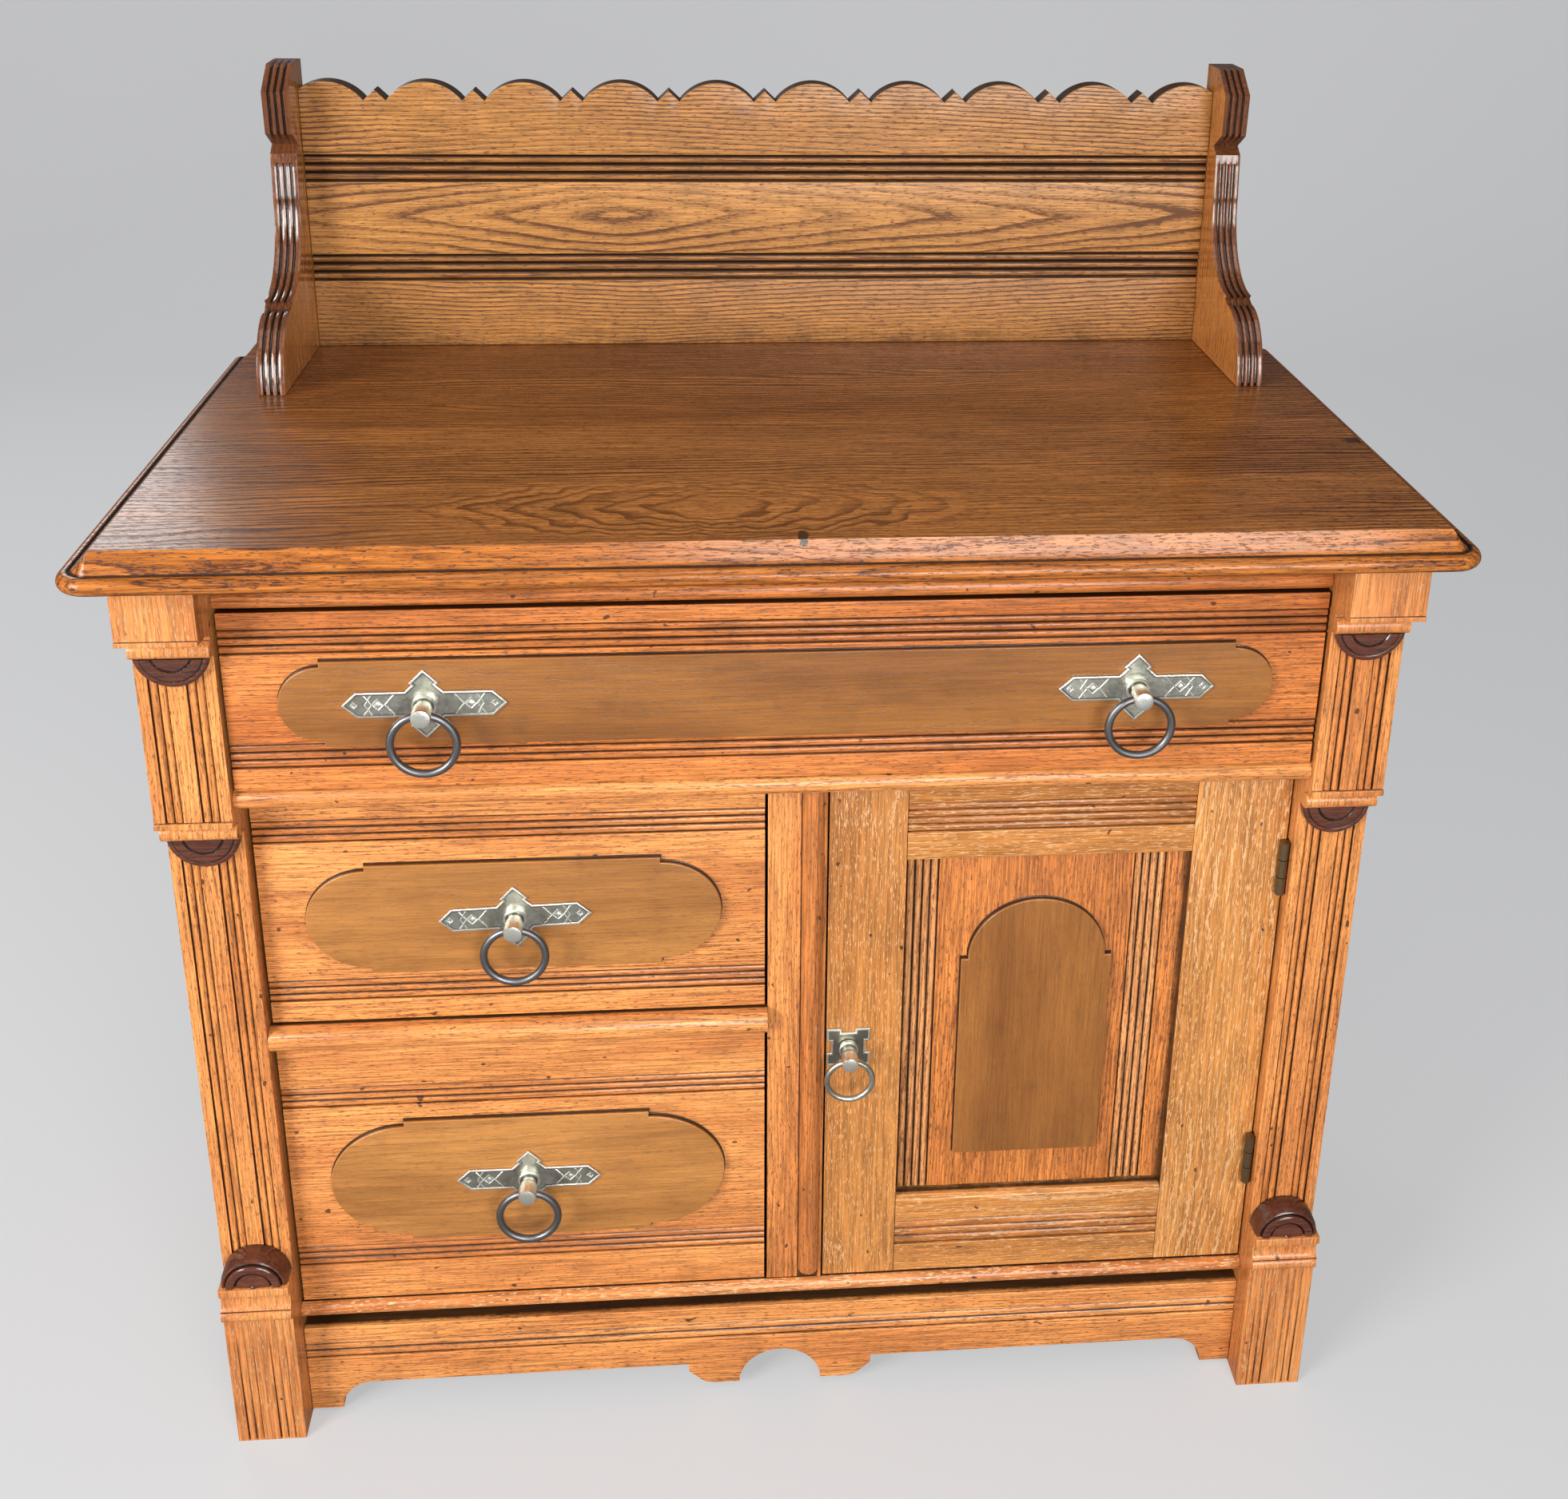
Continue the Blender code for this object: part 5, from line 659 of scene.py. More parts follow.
def make_top():
    """Rings of one rounded outline that step in as they rise: a half-round nose, a fillet and a sagging
    hollow, steeper along the front than at the sides. The corner's radius shrinks as the ring steps in."""
    half, near, radius, nose_radius = 0.424, -0.219, 0.020, 0.0055
    cove, width, sag, front_share = 0.0070, 0.0145, 0.0020, 0.38
    nose_top = CASE_HEIGHT + 2 * nose_radius
    share = np.linspace(0.0, 1.0, 15)[:-1]
    rise = nose_top - 0.0010 + (SURFACE_Z - nose_top + 0.0010) * share - sag * 4 * share * (1 - share)
    centre = (nose_radius, CASE_HEIGHT + nose_radius)
    section = join([(0.0100, CASE_HEIGHT)], arc(centre, (nose_radius, nose_radius), 270, 90, 14),
                   [(0.0068, nose_top - 0.0004)], np.stack([cove + width * share, rise], axis=1),
                   [(0.0218, SURFACE_Z), (0.0225, SURFACE_Z)])
    deep, worn_and_lit = np.zeros((2, len(section)))
    # Painted shade: the nose's underside and lower round, and the crease where nose meets hollow, are painted
    # dark.
    deep[:6], deep[15:21] = (1.0, 1.0, 1.0, 1.0, 0.8, 0.3), (0.5, 1.0, 1.0, 1.0, 0.8, 0.35)
    # Rubbed wear and painted highlight: the nose's front and the lip are painted light.
    worn_and_lit[6:12], worn_and_lit[-3:-1] = 0.6, 0.5
    inset = section[:, :1]
    fore = np.where(inset > cove, cove + (inset - cove) * front_share, inset)
    corner = np.maximum(radius - inset, 0.0006)
    turn = np.radians(np.linspace(180, 270, 13))
    left_x, left_y = -half + inset + corner * (1 + np.cos(turn)), near + fore + corner * (1 + np.sin(turn))
    middle, back = np.linspace(-0.35, 0.35, 9) * np.ones_like(inset), TOP_BACK_Y * np.ones_like(inset)
    x = np.concatenate([-half + inset, left_x, middle, -left_x[:, ::-1], half - inset], axis=1)
    y = np.concatenate([back, left_y, near + fore * np.ones_like(middle), left_y[:, ::-1], back], axis=1)
    z = section[:, 1:] * np.ones_like(x)
    draft = Draft()
    moulded = (np.arange(len(section)) < len(section) - 2).astype(float)[:, None]
    draft.grid(np.stack([x, y, z], axis=-1), deep[:, None], worn_and_lit[:, None], moulded)
    draft.finish("top_board_moulded", "top", ["top_board"], out="z", heart=(0.0, 0.219, -0.70))


# The splash back and its brackets

SCALLOP = 0.0737
SCALLOPS = np.arange(10) - 4.5
TOOTH = 0.0084
SPLASH_REEDS = (0.0528, 0.1307)


def scallops(x):
    """How far the splash board's top edge lies below its peak: a circle's arc under each scallop, and a
    pointed tooth between two."""
    depth, rise = 0.014, 0.008
    span = SCALLOP / 2 - TOOTH
    radius = (span * span + depth * depth) / (2 * depth)
    away = x - SCALLOP * (np.clip(np.floor(x / SCALLOP + 0.5 + 4.5), 0, 9) - 4.5)
    bow = radius - np.sqrt(np.maximum(radius ** 2 - np.minimum(np.abs(away), span) ** 2, 0.0))
    climb = np.clip((np.abs(away) - span) / TOOTH, 0.0, 1.0) * rise
    return -(bow - climb)


def make_splash():
    """One section, with two bands of reeds sunk in its face, carried along the board. Above the upper band
    its points drop by the scallops' depth, the more the nearer they lie to the top edge."""
    half, face, depth, bevel = 0.3507, TOP_BACK_Y - 0.020, 0.0034, 0.002
    base, start, peak = SURFACE_Z + JOINT, SURFACE_Z + 0.156, SURFACE_Z + 0.207
    outline, deep = [(TOP_BACK_Y, base), (face, base)], [0.0, 0.5]
    for level in SPLASH_REEDS:
        line = reeds(SURFACE_Z + level, 0.0071, 3, depth, 0.0008)
        outline += [(face + sunk, place) for place, sunk in line]
        deep += sunk_dark(line, depth * 0.5)
    outline += [(face, start), (face, (start + peak) / 2), (face, peak), (face + bevel, peak),
                (TOP_BACK_Y - bevel, peak), (TOP_BACK_Y, peak)]
    section = eased(outline, 0.0009, deep + [0.0, 0.0, 0.0, 0.75, 0.75, 0.0])
    rise = section[0][:, 1] - SURFACE_Z
    lower, upper = [(level - 0.0002, level + 0.0215) for level in SPLASH_REEDS]
    banded = np.maximum(within(rise, lower, upper),
                        0.30 * within(rise, (upper[1], 0.3)) + 0.55 * within(rise, (-0.1, lower[0])))
    banded *= section[0][:, 0] < TOP_BACK_Y - 0.001
    share = np.clip((section[0][:, 1] - start) / (peak - start), 0.0, 1.0)
    span = SCALLOP / 2 - TOOTH
    steps = np.concatenate([np.linspace(-span, span, 23), span + TOOTH * np.array([0.5, 1.0, 1.5])])
    fine = ((SCALLOP * SCALLOPS)[:, None] + steps).ravel()
    inner = np.sort(fine[(fine > -half + 0.002) & (fine < half - 0.002)])
    places, insets = stations(-half, half, inner)
    Draft().bar(section, "x", places, insets, shift=scallops(places), share=share, trim=banded).finish(
        "splash_board_reeded", "splash", ["splash_board"], heart=(0.115, -SURFACE_Z - 0.104, -0.199))


def bracket_loop():
    """(y, z) round a bracket, with 1 where grooves run along its front edge."""
    depth, height, base = 0.145, 0.221, SURFACE_Z + JOINT

    def at(*shares):
        return np.array([(TOP_BACK_Y - a * depth, base + b * height) for a, b in shares])

    lobe = arc((TOP_BACK_Y - 0.717 * depth, base), (0.283 * depth, 0.24 * height), 180, 90, 40)
    foot, top, neck = at((0.697, 0.267), (0.312, 0.556), (0.286, 0.706))
    hollow = arc((foot[0], top[1]), (top[0] - foot[0], top[1] - foot[1]), -90, 0, 60)
    stop = (neck[1] - 0.035 * height - top[1]) / (neck[1] - top[1])
    slope = top + (neck - top) * np.linspace(0.0, stop, 12)[:, None]
    block = at((0.350, 0.780), (0.352, 0.80), (0.360, 0.922), (0.30, 0.951), (0.200, 1.0))
    pieces = [
        (lobe, 1), (at((0.676, 0.253)), 0), (hollow, 1), (slope[1:], 1), (slope[-1:] + (0.0, 0.001), 0),
        (neck[None], 0), (at((0.228, 0.733)), 0), (block, 1),
        (at((0.06, 1.0), (0.0, 1.0), (0.0, 0.0), (0.7, 0.0)), 0),
    ]
    zone = np.concatenate([np.full(len(points), float(grooved)) for points, grooved in pieces])
    return join(*[points for points, grooved in pieces]), zone


def make_brackets():
    """The outline carried through the thickness. Three rounded grooves run along the front edge: there the
    outline steps in by the groove's depth at each place through the thickness."""
    loop, zone = bracket_loop()
    plain = (loop, np.zeros(len(loop)), np.zeros(len(loop)))
    thickness, width, sunk = 0.0195, 0.0018, 0.0024
    half = np.array([(0.0, sunk), (0.3 * width, 0.95 * sunk), (0.5 * width, 0.6 * sunk),
                     (0.5 * width + 0.0003, 0.0004), (0.0024, 0.0)])
    groove = join(half[:0:-1] * (-1, 1), half)
    for side, word in SIDES:
        low, high = sorted((side * 0.351, side * (0.351 + thickness)))
        middles = low + thickness / 4 * np.arange(1, 4)
        places, insets = stations(low, high, (middles[:, None] + groove[:, 0]).ravel(), 0.0004)
        depths = np.zeros(len(places))
        depths[4:-4] = np.tile(groove[:, 1], 3)
        Draft().bar(plain, "x", places, insets, sunk=depths, zone=zone, trim=1.0, bare_ends=True).finish(
            "bracket_" + word, "bracket", ["splash_bracket_" + word], along="z", out="x")


# The posts and their roundels

def post_loop():
    """(y, z) down the moulded front of a post and back up behind it."""
    cap, lip, shaft, block, back = front(0.058), front(0.0595), front(0.031), front(0.030), FACE_Y + POST_BACK
    hollow, neck, waist = front(0.0565), (front(0.03375), 0.65525), (front(0.0195), 0.5175)
    ledge, lower, base = front(0.033), front(0.011), front(0.0255)
    return join(
        [(cap, 0.7147), (cap, 0.672), (lip, 0.672), (lip, 0.669)],
        arc((hollow, 0.661), (neck[0] - hollow, 0.008), 90, 0, 10),
        arc(neck, (0.00575, 0.00575), 90, 270, 16)[1:],
        [(shaft, 0.6495), (shaft, 0.531), (ledge, 0.531), (ledge, 0.527)],
        arc((ledge, 0.523), (waist[0] - ledge, 0.004), 90, 0, 8),
        arc(waist, (0.0055, 0.0055), 90, 270, 16)[1:],
        [(lower, 0.512), (lower, 0.147), (block, 0.147)], arc((block, 0.1335), (0.0045, 0.0075), 90, -90, 12),
        arc((base, 0.121), (0.0045, 0.005), 90, 270, 16), [(base, 0.0), (back, 0.0), (back, 0.7147)])


def make_posts():
    """The moulded outline carried across the post's width. On the three flat stretches of its front it steps
    in by the depth of two bands of reeds, so that the reeds run up and down."""
    loop, hollow, worn_and_lit = eased(post_loop(), 0.0005)
    zone = np.zeros(len(loop))
    for projection, low, high in ((0.031, 0.531, 0.6495), (0.011, 0.147, 0.512), (0.0255, -1.0, 0.112)):
        zone[(np.abs(loop[:, 0] - front(projection)) < 1e-6) & (loop[:, 1] > low) & (loop[:, 1] < high)] = 1.0
    # Caps and feet take pale flecks, which the case wood also darkens as painted shade.
    flecked = within(loop[:, 1], (0.650, 1.0), (-1.0, 0.1475))
    edge = 0.0072
    starts = (edge, POST_WIDTH - edge - 2 * REED_PITCH)
    for side, word in SIDES:
        low, high = sorted((side * OPENING_HALF, side * CASE_HALF))
        inner = join(*[reeds(low + start, REED_PITCH, 2) for start in starts])
        places, insets = stations(low, high, inner[:, 0])
        depths = np.zeros(len(places))
        depths[4:-4] = inner[:, 1]
        stained = (doubled(depths) > 0.0)[:, None] * (zone * (1 - flecked))
        Draft().bar((loop, hollow, worn_and_lit), "x", places, insets, sunk=depths, zone=zone,
                    trim=0.45 * stained - 0.6 * flecked, bare_ends=True).finish(
            "post_" + word, "case", ["front_post_" + word], along="z")


def make_roundels():
    """Half discs turned about an axis that faces the front: each circle of the profile runs only over the
    angles that lie on the shown side of the cut."""
    profile = np.array([  # (radius, height) as shares of the disc's own, and how hollow it lies
        (0.0, 1.0, 0), (0.05, 1.03, 0), (0.09, 0.97, 0.5), (0.42, 0.95, 0), (0.50, 0.94, 0.3),
        (0.53, 0.82, 1), (0.55, 0.82, 1), (0.58, 0.98, 0.2), (0.61, 1.0, 0), (0.78, 1.0, 0), (0.81, 0.97, 0.3),
        (0.84, 0.84, 1), (0.87, 0.88, 0.2), (0.90, 0.90, 0), (0.94, 0.87, 0), (0.97, 0.79, 0.3),
        (1.0, 0.64, 0), (1.0, 0.0, 0.5)])
    # The third column is how dark each ring is painted: dark polish and painted shade in the grooves.
    deep = profile[:, 2:]
    for side, word in SIDES:
        middle = side * (OPENING_HALF + POST_WIDTH / 2)
        for zone, projection, level, thickness, raised, way in (
                ("upper", 0.031, 0.6495, 0.005, 0.004, -1), ("middle", 0.011, 0.512, 0.006, 0.0, -1),
                ("foot", 0.011, 0.147, 0.0175, 0.0, 1)):
            least = raised + JOINT
            radius = np.maximum(profile[:, :1] * 0.0236, least + 1e-5)
            begin = np.arcsin(least / radius)
            turn = begin + (math.pi - 2 * begin) * np.linspace(0.0, 1.0, 41)
            x, z = middle + radius * np.cos(turn), level + raised + way * radius * np.sin(turn)
            y = front(projection) - JOINT - profile[:, 1:2] * thickness * np.ones_like(turn)
            draft = Draft()
            worn_and_lit = (deep == 0) * 0.3
            rows = draft.grid(np.stack([x, y, z], axis=-1), deep, worn_and_lit, around=False, filled=False)
            draft.faces += [rows[:, 0].tolist() + rows[::-1, -1].tolist(), rows[-1].tolist()]
            draft.finish("roundel_disc_" + zone + "_" + word, "walnut", ["roundel_" + zone + "_" + word])


# Rails, apron and divider

def nose(projection, low, high, above, below):
    """A rail's section whose front edge is a half round over its whole height, painted dark as painted shade
    from where the pieces above and below it stand."""
    radius = (high - low) / 2
    curve = arc((front(projection) + radius, low + radius), (radius, radius), 90, 270, 20)
    back = FACE_Y + RAIL_BACK
    points = join(curve, [(front(below), low), (back, low), (back, high), (front(above), high)])
    return eased(points, ARRIS, np.arange(len(points)) >= len(curve))


def make_rails():
    """The top rail with its bead, a half circle before the face, and three rails with round fronts."""
    inner, top = OPENING_HALF - JOINT, CASE_HEIGHT - JOINT
    face, behind, radius = front(0.021), front(-0.001), 0.006
    bead = (front(0.020), TOP_RAIL_Z + radius)
    outline = join(
        [(face, top), (face, CASE_HEIGHT - 0.004), (face, bead[1] + 0.0075), (face, bead[1] + radius)],
        arc(bead, (radius, radius), 90, 270, 18), [(behind, TOP_RAIL_Z), (behind, top)])
    deep = np.zeros(len(outline))
    # Painted shade: the rail's top under the top's nose, the crease above the bead and the bead's underside.
    deep[[0, 1, 3, 4, -3, -2]] = (1.0, 0.35, 1.0, 0.9, 1.0, 1.0)
    Draft().bar(eased(outline, ARRIS, deep), "x", *stations(-inner, inner)).finish(
        "top_rail", "red", ["front_top_rail"])
    for name, cad, projection, low, high, right, above, below in (
            ("upper_rail", "upper_drawer_rail", 0.028, UPPER_RAIL_Z, UPPER_OPENING_Z, inner, 0.021, 0.001),
            ("lower_rail", "lower_drawer_rail", 0.012, LOWER_RAIL_Z, MIDDLE_OPENING_Z, DIVIDER_LEFT - JOINT,
             0.001, 0.001),
            ("floor_rail", "bottom_rail", 0.006, BOTTOM_RAIL_Z, LOWER_OPENING_Z, inner, 0.0003, 0.0003)):
        # The bottom rail takes pale flecks, which the case wood also darkens as painted shade.
        flecked = float(cad == "bottom_rail")
        section = nose(projection, low, high, above, below)
        Draft().bar(section, "x", *stations(-inner, right), trim=-flecked).finish(name, "case", [cad])


def make_apron():
    """A board whose lower edge follows two feet, a flat, two lobes and an arch between them."""
    half, face, height, bend, thickness = OPENING_HALF - JOINT, front(0.003), APRON_HEIGHT, 0.045, 0.018
    flat, floor, lobe, arch = 0.33 * height, 0.035 * height, 0.087 * height, 0.463 * height
    end, rise, first, mid, stop = np.array([0.935, 0.868, 0.197, 0.132, 0.088]) * half
    right = join(
        arc((0.0, lobe), (stop, arch - lobe), 90, 0, 16),
        arc((mid, lobe * 2), (mid - stop, lobe), 250, 330, 12), [(first, flat - lobe), (first + 0.0002, flat)],
        arc((rise, floor), (end - rise, flat - floor), 90, 0, 16), [(half - 0.001, floor)])
    edge = join(right[::-1] * (-1, 1), right[1:])
    line = reeds(0.0516, 0.0072, 2)
    outline = [(face + thickness, 0.0), (face, 0.0), (face, bend)]
    outline += [(face + sunk, place) for place, sunk in line]
    outline += [(face, height), (face + 0.007, height), (face + thickness, height), (face + thickness, bend)]
    # Painted shade: the apron's top edge is painted dark, as the slot under the bottom rail.
    section = eased(outline, ARRIS, [0.0, 0.0, 0.0] + sunk_dark(line) + [0.2, 1.0, 1.0, 0.0])
    share = np.clip((bend - section[0][:, 1]) / bend, 0.0, 1.0)
    places, insets = stations(-half, half, edge[:, 0])
    shift = np.full(len(places), floor)
    shift[4:-4] = edge[:, 1]
    Draft().bar(section, "x", places, insets, shift=shift, share=share).finish("cut_apron", "case", ["apron"])


def make_divider():
    """A flat upright with a round corner at the door, and a half-elliptic bead in front of it."""
    low, high, back = LOWER_OPENING_Z + JOINT, UPPER_RAIL_Z - JOINT, FACE_Y + RAIL_BACK
    left, width, corner = 0.0130, 0.015, 0.0015
    outline = join([(DIVIDER_LEFT, FACE_Y), (left - corner, FACE_Y), (left, FACE_Y)],
                   arc((DIVIDER_RIGHT - corner, FACE_Y), (corner, corner), 180, 360, 10),
                   [(DIVIDER_RIGHT, FACE_Y + 0.003), (DIVIDER_RIGHT, back), (DIVIDER_LEFT, back),
                    (DIVIDER_LEFT, FACE_Y + JOINT_SHADE_SET_BACK)])
    deep = np.zeros(len(outline))
    # Painted shade: the divider's sides and back in the gaps, and the face beside the bead's ends, are painted
    # dark.
    deep[[2, 3, -4, -3, -2, -1]] = (1.0, 0.9, 1.0, 1.0, 1.0, 1.0)
    draft = Draft().bar(eased(outline, 0.0005, deep), "z", *stations(low, high))
    rounded = join(arc((left + width / 2, FACE_Y), (width / 2, 0.008), 180, 360, 20),
                   [(left + width, FACE_Y + 0.003), (left, FACE_Y + 0.003)])
    deep = np.zeros(len(rounded))
    # Painted shade: the bead's edges where it meets the face are painted dark, as in the quirks.
    deep[[0, 1, 20, 21, 22]] = (1.0, 0.7, 0.7, 1.0, 1.0)
    draft.bar(eased(rounded, 0.0003, deep), "z", *stations(low + 0.009, high - 0.004), trim=0.8)
    draft.finish("divider_with_bead", "case", ["divider_stile"], along="z")


# Drawers and their pulls

def overlay_edge():
    """The eased edge of an applied panel, from its back over to its face: its first points lie on the face
    round the panel and are painted dark as a painted shadow line, and its rounded corner is painted light as
    rubbed wear and painted highlight.
    """
    radius = 0.0009
    curve = [(radius * (1 - math.cos(a)), OVERLAY - radius * (1 - math.sin(a)), 0.0, math.sin(2 * a))
             for a in np.linspace(0.0, math.pi / 2, 6)]
    return [(-0.0007, 0.0, 1.0, 0.0), (-0.0006, 0.0002, 1.0, 0.0), (0.0, 0.0004, 1.0, 0.0),
            (0.0, 0.0016, 0.9, 0.0), (0.0, OVERLAY - 0.0011, 0.5, 0.0)] + curve


def overlay_outline(half_length, half_height, end_height, end_length):
    """A bar with bowed ends, stepped where they begin."""
    straight = half_length - end_length
    right = join([(straight, -half_height)], arc((straight, 0.0), (end_length, end_height), -90, 90, 40),
                 [(straight, half_height)])
    return join(right, right[::-1] * (-1, 1))


def plate_outline():
    """(x, z) of a pull's back plate: a pointed bar with a stepped diamond across its middle."""
    quarter = np.array([(0.0515, 0.0), (0.0423, 0.0088), (0.0120, 0.0088), (0.0075, 0.0133), (0.0092, 0.0148),
                        (0.0, 0.0240)])
    upper = join(quarter, quarter[-2::-1] * (-1, 1))
    return join(upper, upper[-2:0:-1] * (1, -1))


def post_profile(collar, neck, head, length, head_length, collar_length):
    """(radius, height) of a turned post from the middle of its domed end down to its base, how dark each
    point is painted (tarnish and painted shade) and how light (rubbed wear and painted highlight)."""
    shoulder = length - head_length
    table = np.array([
        (0.0, length + 0.0003, 0, 0.2), (head * 0.5, length + 0.0002, 0, 0.2),
        (head - 0.0016, length, 0, 0.5), (head - 0.0005, length - 0.0003, 0, 1),
        (head, length - 0.0012, 0, 0.5), (head, shoulder + 0.0003, 0, 0.4),
        (head - 0.0003, shoulder, 0.2, 0.5), (neck, shoulder - (head - neck), 0.9, 0),
        (neck - 0.0004, (shoulder + collar_length) / 2, 0.3, 0), (neck, collar_length, 1.0, 0),
        (collar - 0.0006, collar_length, 0.1, 1), (collar, collar_length - 0.0006, 0, 0.5),
        (collar, 0.0, 0.6, 0)])
    return table[:, :2], table[:, 2], table[:, 3]


def make_pull(name, x, back, z, tilt, body, ring_body):
    """A plate with a raised border, two ridged points and small studs, a turned post, and the ring that
    hangs in it."""
    border = [(0.0, 0.0, 0.6, 0.0), (0.0, PLATE - 0.0004, 0.0, 0.2), (0.0002, PLATE - 0.0001, 0.0, 1.0),
              (0.0004, PLATE, 0.0, 1.0), (0.0012, PLATE, 0.0, 1.0), (0.0014, PLATE - 0.0003, 0.8, 0.0),
              (0.0017, PLATE - 0.00055, 1.0, 0.0), (0.0024, PLATE - 0.00055, 0.60, 0.0)]
    draft = Draft().sheet(plate_outline() + (x, z), back, border, tilt, (x, z))
    square = np.radians(np.arange(4) * 90.0)
    for reach, half, height, deep in ((0.0288, 0.0034, 0.0007, 0.0), (0.0437, 0.0017, 0.0006, 0.7)):
        stud = [(-0.0009, 0.0009, 0.9, 0.0), (-0.0006, 0.0013, 0.0, 0.8), (0.0, 0.0013, 0.0, 0.6),
                (0.0004, 0.0010, 1.0, 0.0), (half * 0.35, 0.0010 + height * 0.6, deep, 0.5),
                (half * 0.55, 0.0010 + height, deep, 1.0)]
        for side in (-1, 1):
            across, up = turned_by(side * reach, 0.0, tilt)
            outline = [x + across + half * np.cos(square), z + up + half * np.sin(square)]
            draft.sheet(np.stack(outline, axis=1), back, stud)
    ridge = [(0.0, 0.0009, 0.9, 0.0), (0.0001, 0.0013, 0.2, 0.3), (0.0003, 0.00145, 0.1, 0.4)]
    for side in (-1, 1):
        for tip, end in ((0.0252, 0.0195), (0.0322, 0.0370), (0.0375, 0.0335)):
            lean = math.copysign(0.0012, end - tip)
            bent = np.array([(end, 0.0068), (tip, 0.0), (end, -0.0068), (end + lean, -0.0068),
                             (tip + lean, 0.0), (end + lean, 0.0068)]) * (side, 1)
            across, up = turned_by(bent[:, 0], bent[:, 1], tilt)
            draft.sheet(np.stack([x + across, z + up], axis=1), back, ridge)
    draft.turned(post_profile(0.0078, 0.0054, 0.0064, 0.0215, 0.0115, 0.0045), (x, back, z))
    draft.finish(name + "_plate_and_post", "nickel", [name + "_pull"], body)
    axis_y = back - PLATE - 0.020 + 0.00575
    Draft().hoop(0.0206, 0.0026, (x, axis_y, z)).finish(name + "_hoop", "steel", [name + "_ring"], ring_body)


def make_drawer(name, wood, shade, right, low, height, projection, bottom_strip, top_strip, drop, overlay,
                pulls):
    """A reeded front, its applied panel and its pulls, in front of the plain box."""
    face, band, gap = front(projection), REED_PITCH * 3, 0.002
    left, right, low, high = -OPENING_HALF + gap, right - gap, low + gap / 2, low + height - gap / 2
    starts = (low + bottom_strip, high - top_strip - band)
    outline, deep = [(face, low)], [0.0]
    for start in starts:
        line = reeds(start, REED_PITCH, 3)
        outline += [(face + sunk, place) for place, sunk in line]
        deep += sunk_dark(line)
    # Painted shade: the front's top and bottom behind the set back are painted dark, as in the gaps round it.
    outline += [(face, high), (face + JOINT_SHADE_SET_BACK, high), (face + 0.020, high), (face + 0.020, low),
                (face + JOINT_SHADE_SET_BACK, low)]
    section = eased(outline, ARRIS, deep + [0.0, 1.0, 1.0, 1.0, 1.0])
    stained = within(section[0][:, 1], *[(start - 0.0002, start + band + 0.0002) for start in starts])
    stained *= section[0][:, 0] < face + 0.010
    Draft().bar(section, "x", *stations(left, right), trim=stained).finish(
        name + "_reeded_front", wood, [name + "_front"], name)
    middle_x, middle_z = (left + right) / 2, (low + high) / 2 - drop
    outline = overlay_outline(*overlay) + (middle_x, middle_z)
    Draft().sheet(outline, face - JOINT, overlay_edge(), trim=shade).finish(
        name + "_applied_panel", "overlay", [name + "_overlay"], name)
    for word, offset, tilt in pulls:
        make_pull(name + word, middle_x + offset, face - 2 * JOINT - OVERLAY, middle_z, tilt, name,
                  name + word + "_ring")


def make_drawers():
    """The long drawer and the two short ones, each with the right and the low edge of its opening, its
    height, how far its front stands out, the plain strips below and above the reeds, how far the applied
    panel sits under the middle, that panel's outline, and its pulls: name, place and tilt."""
    make_drawer("long_drawer", "red", 0.95, OPENING_HALF, UPPER_OPENING_Z, 0.1265, 0.0265, 0.0156, 0.0112,
                0.0, (0.318, 0.0298, 0.026, 0.027), [("_left", -0.2272, 0.0), ("_right", 0.2272, 0.0)])
    make_drawer("upper_drawer", "case", 0.25, DIVIDER_LEFT, MIDDLE_OPENING_Z, 0.185, 0.0, 0.0162, 0.0236,
                0.0083, (0.1395, 0.0421, 0.038, 0.041), [("", 0.0, 1.8)])
    make_drawer("lower_drawer", "case", 0.0, DIVIDER_LEFT, LOWER_OPENING_Z, 0.2285, 0.0, 0.0316, 0.0366,
                0.0048, (0.1403, 0.0524, 0.048, 0.054), [("", 0.0, 0.0)])


# The door

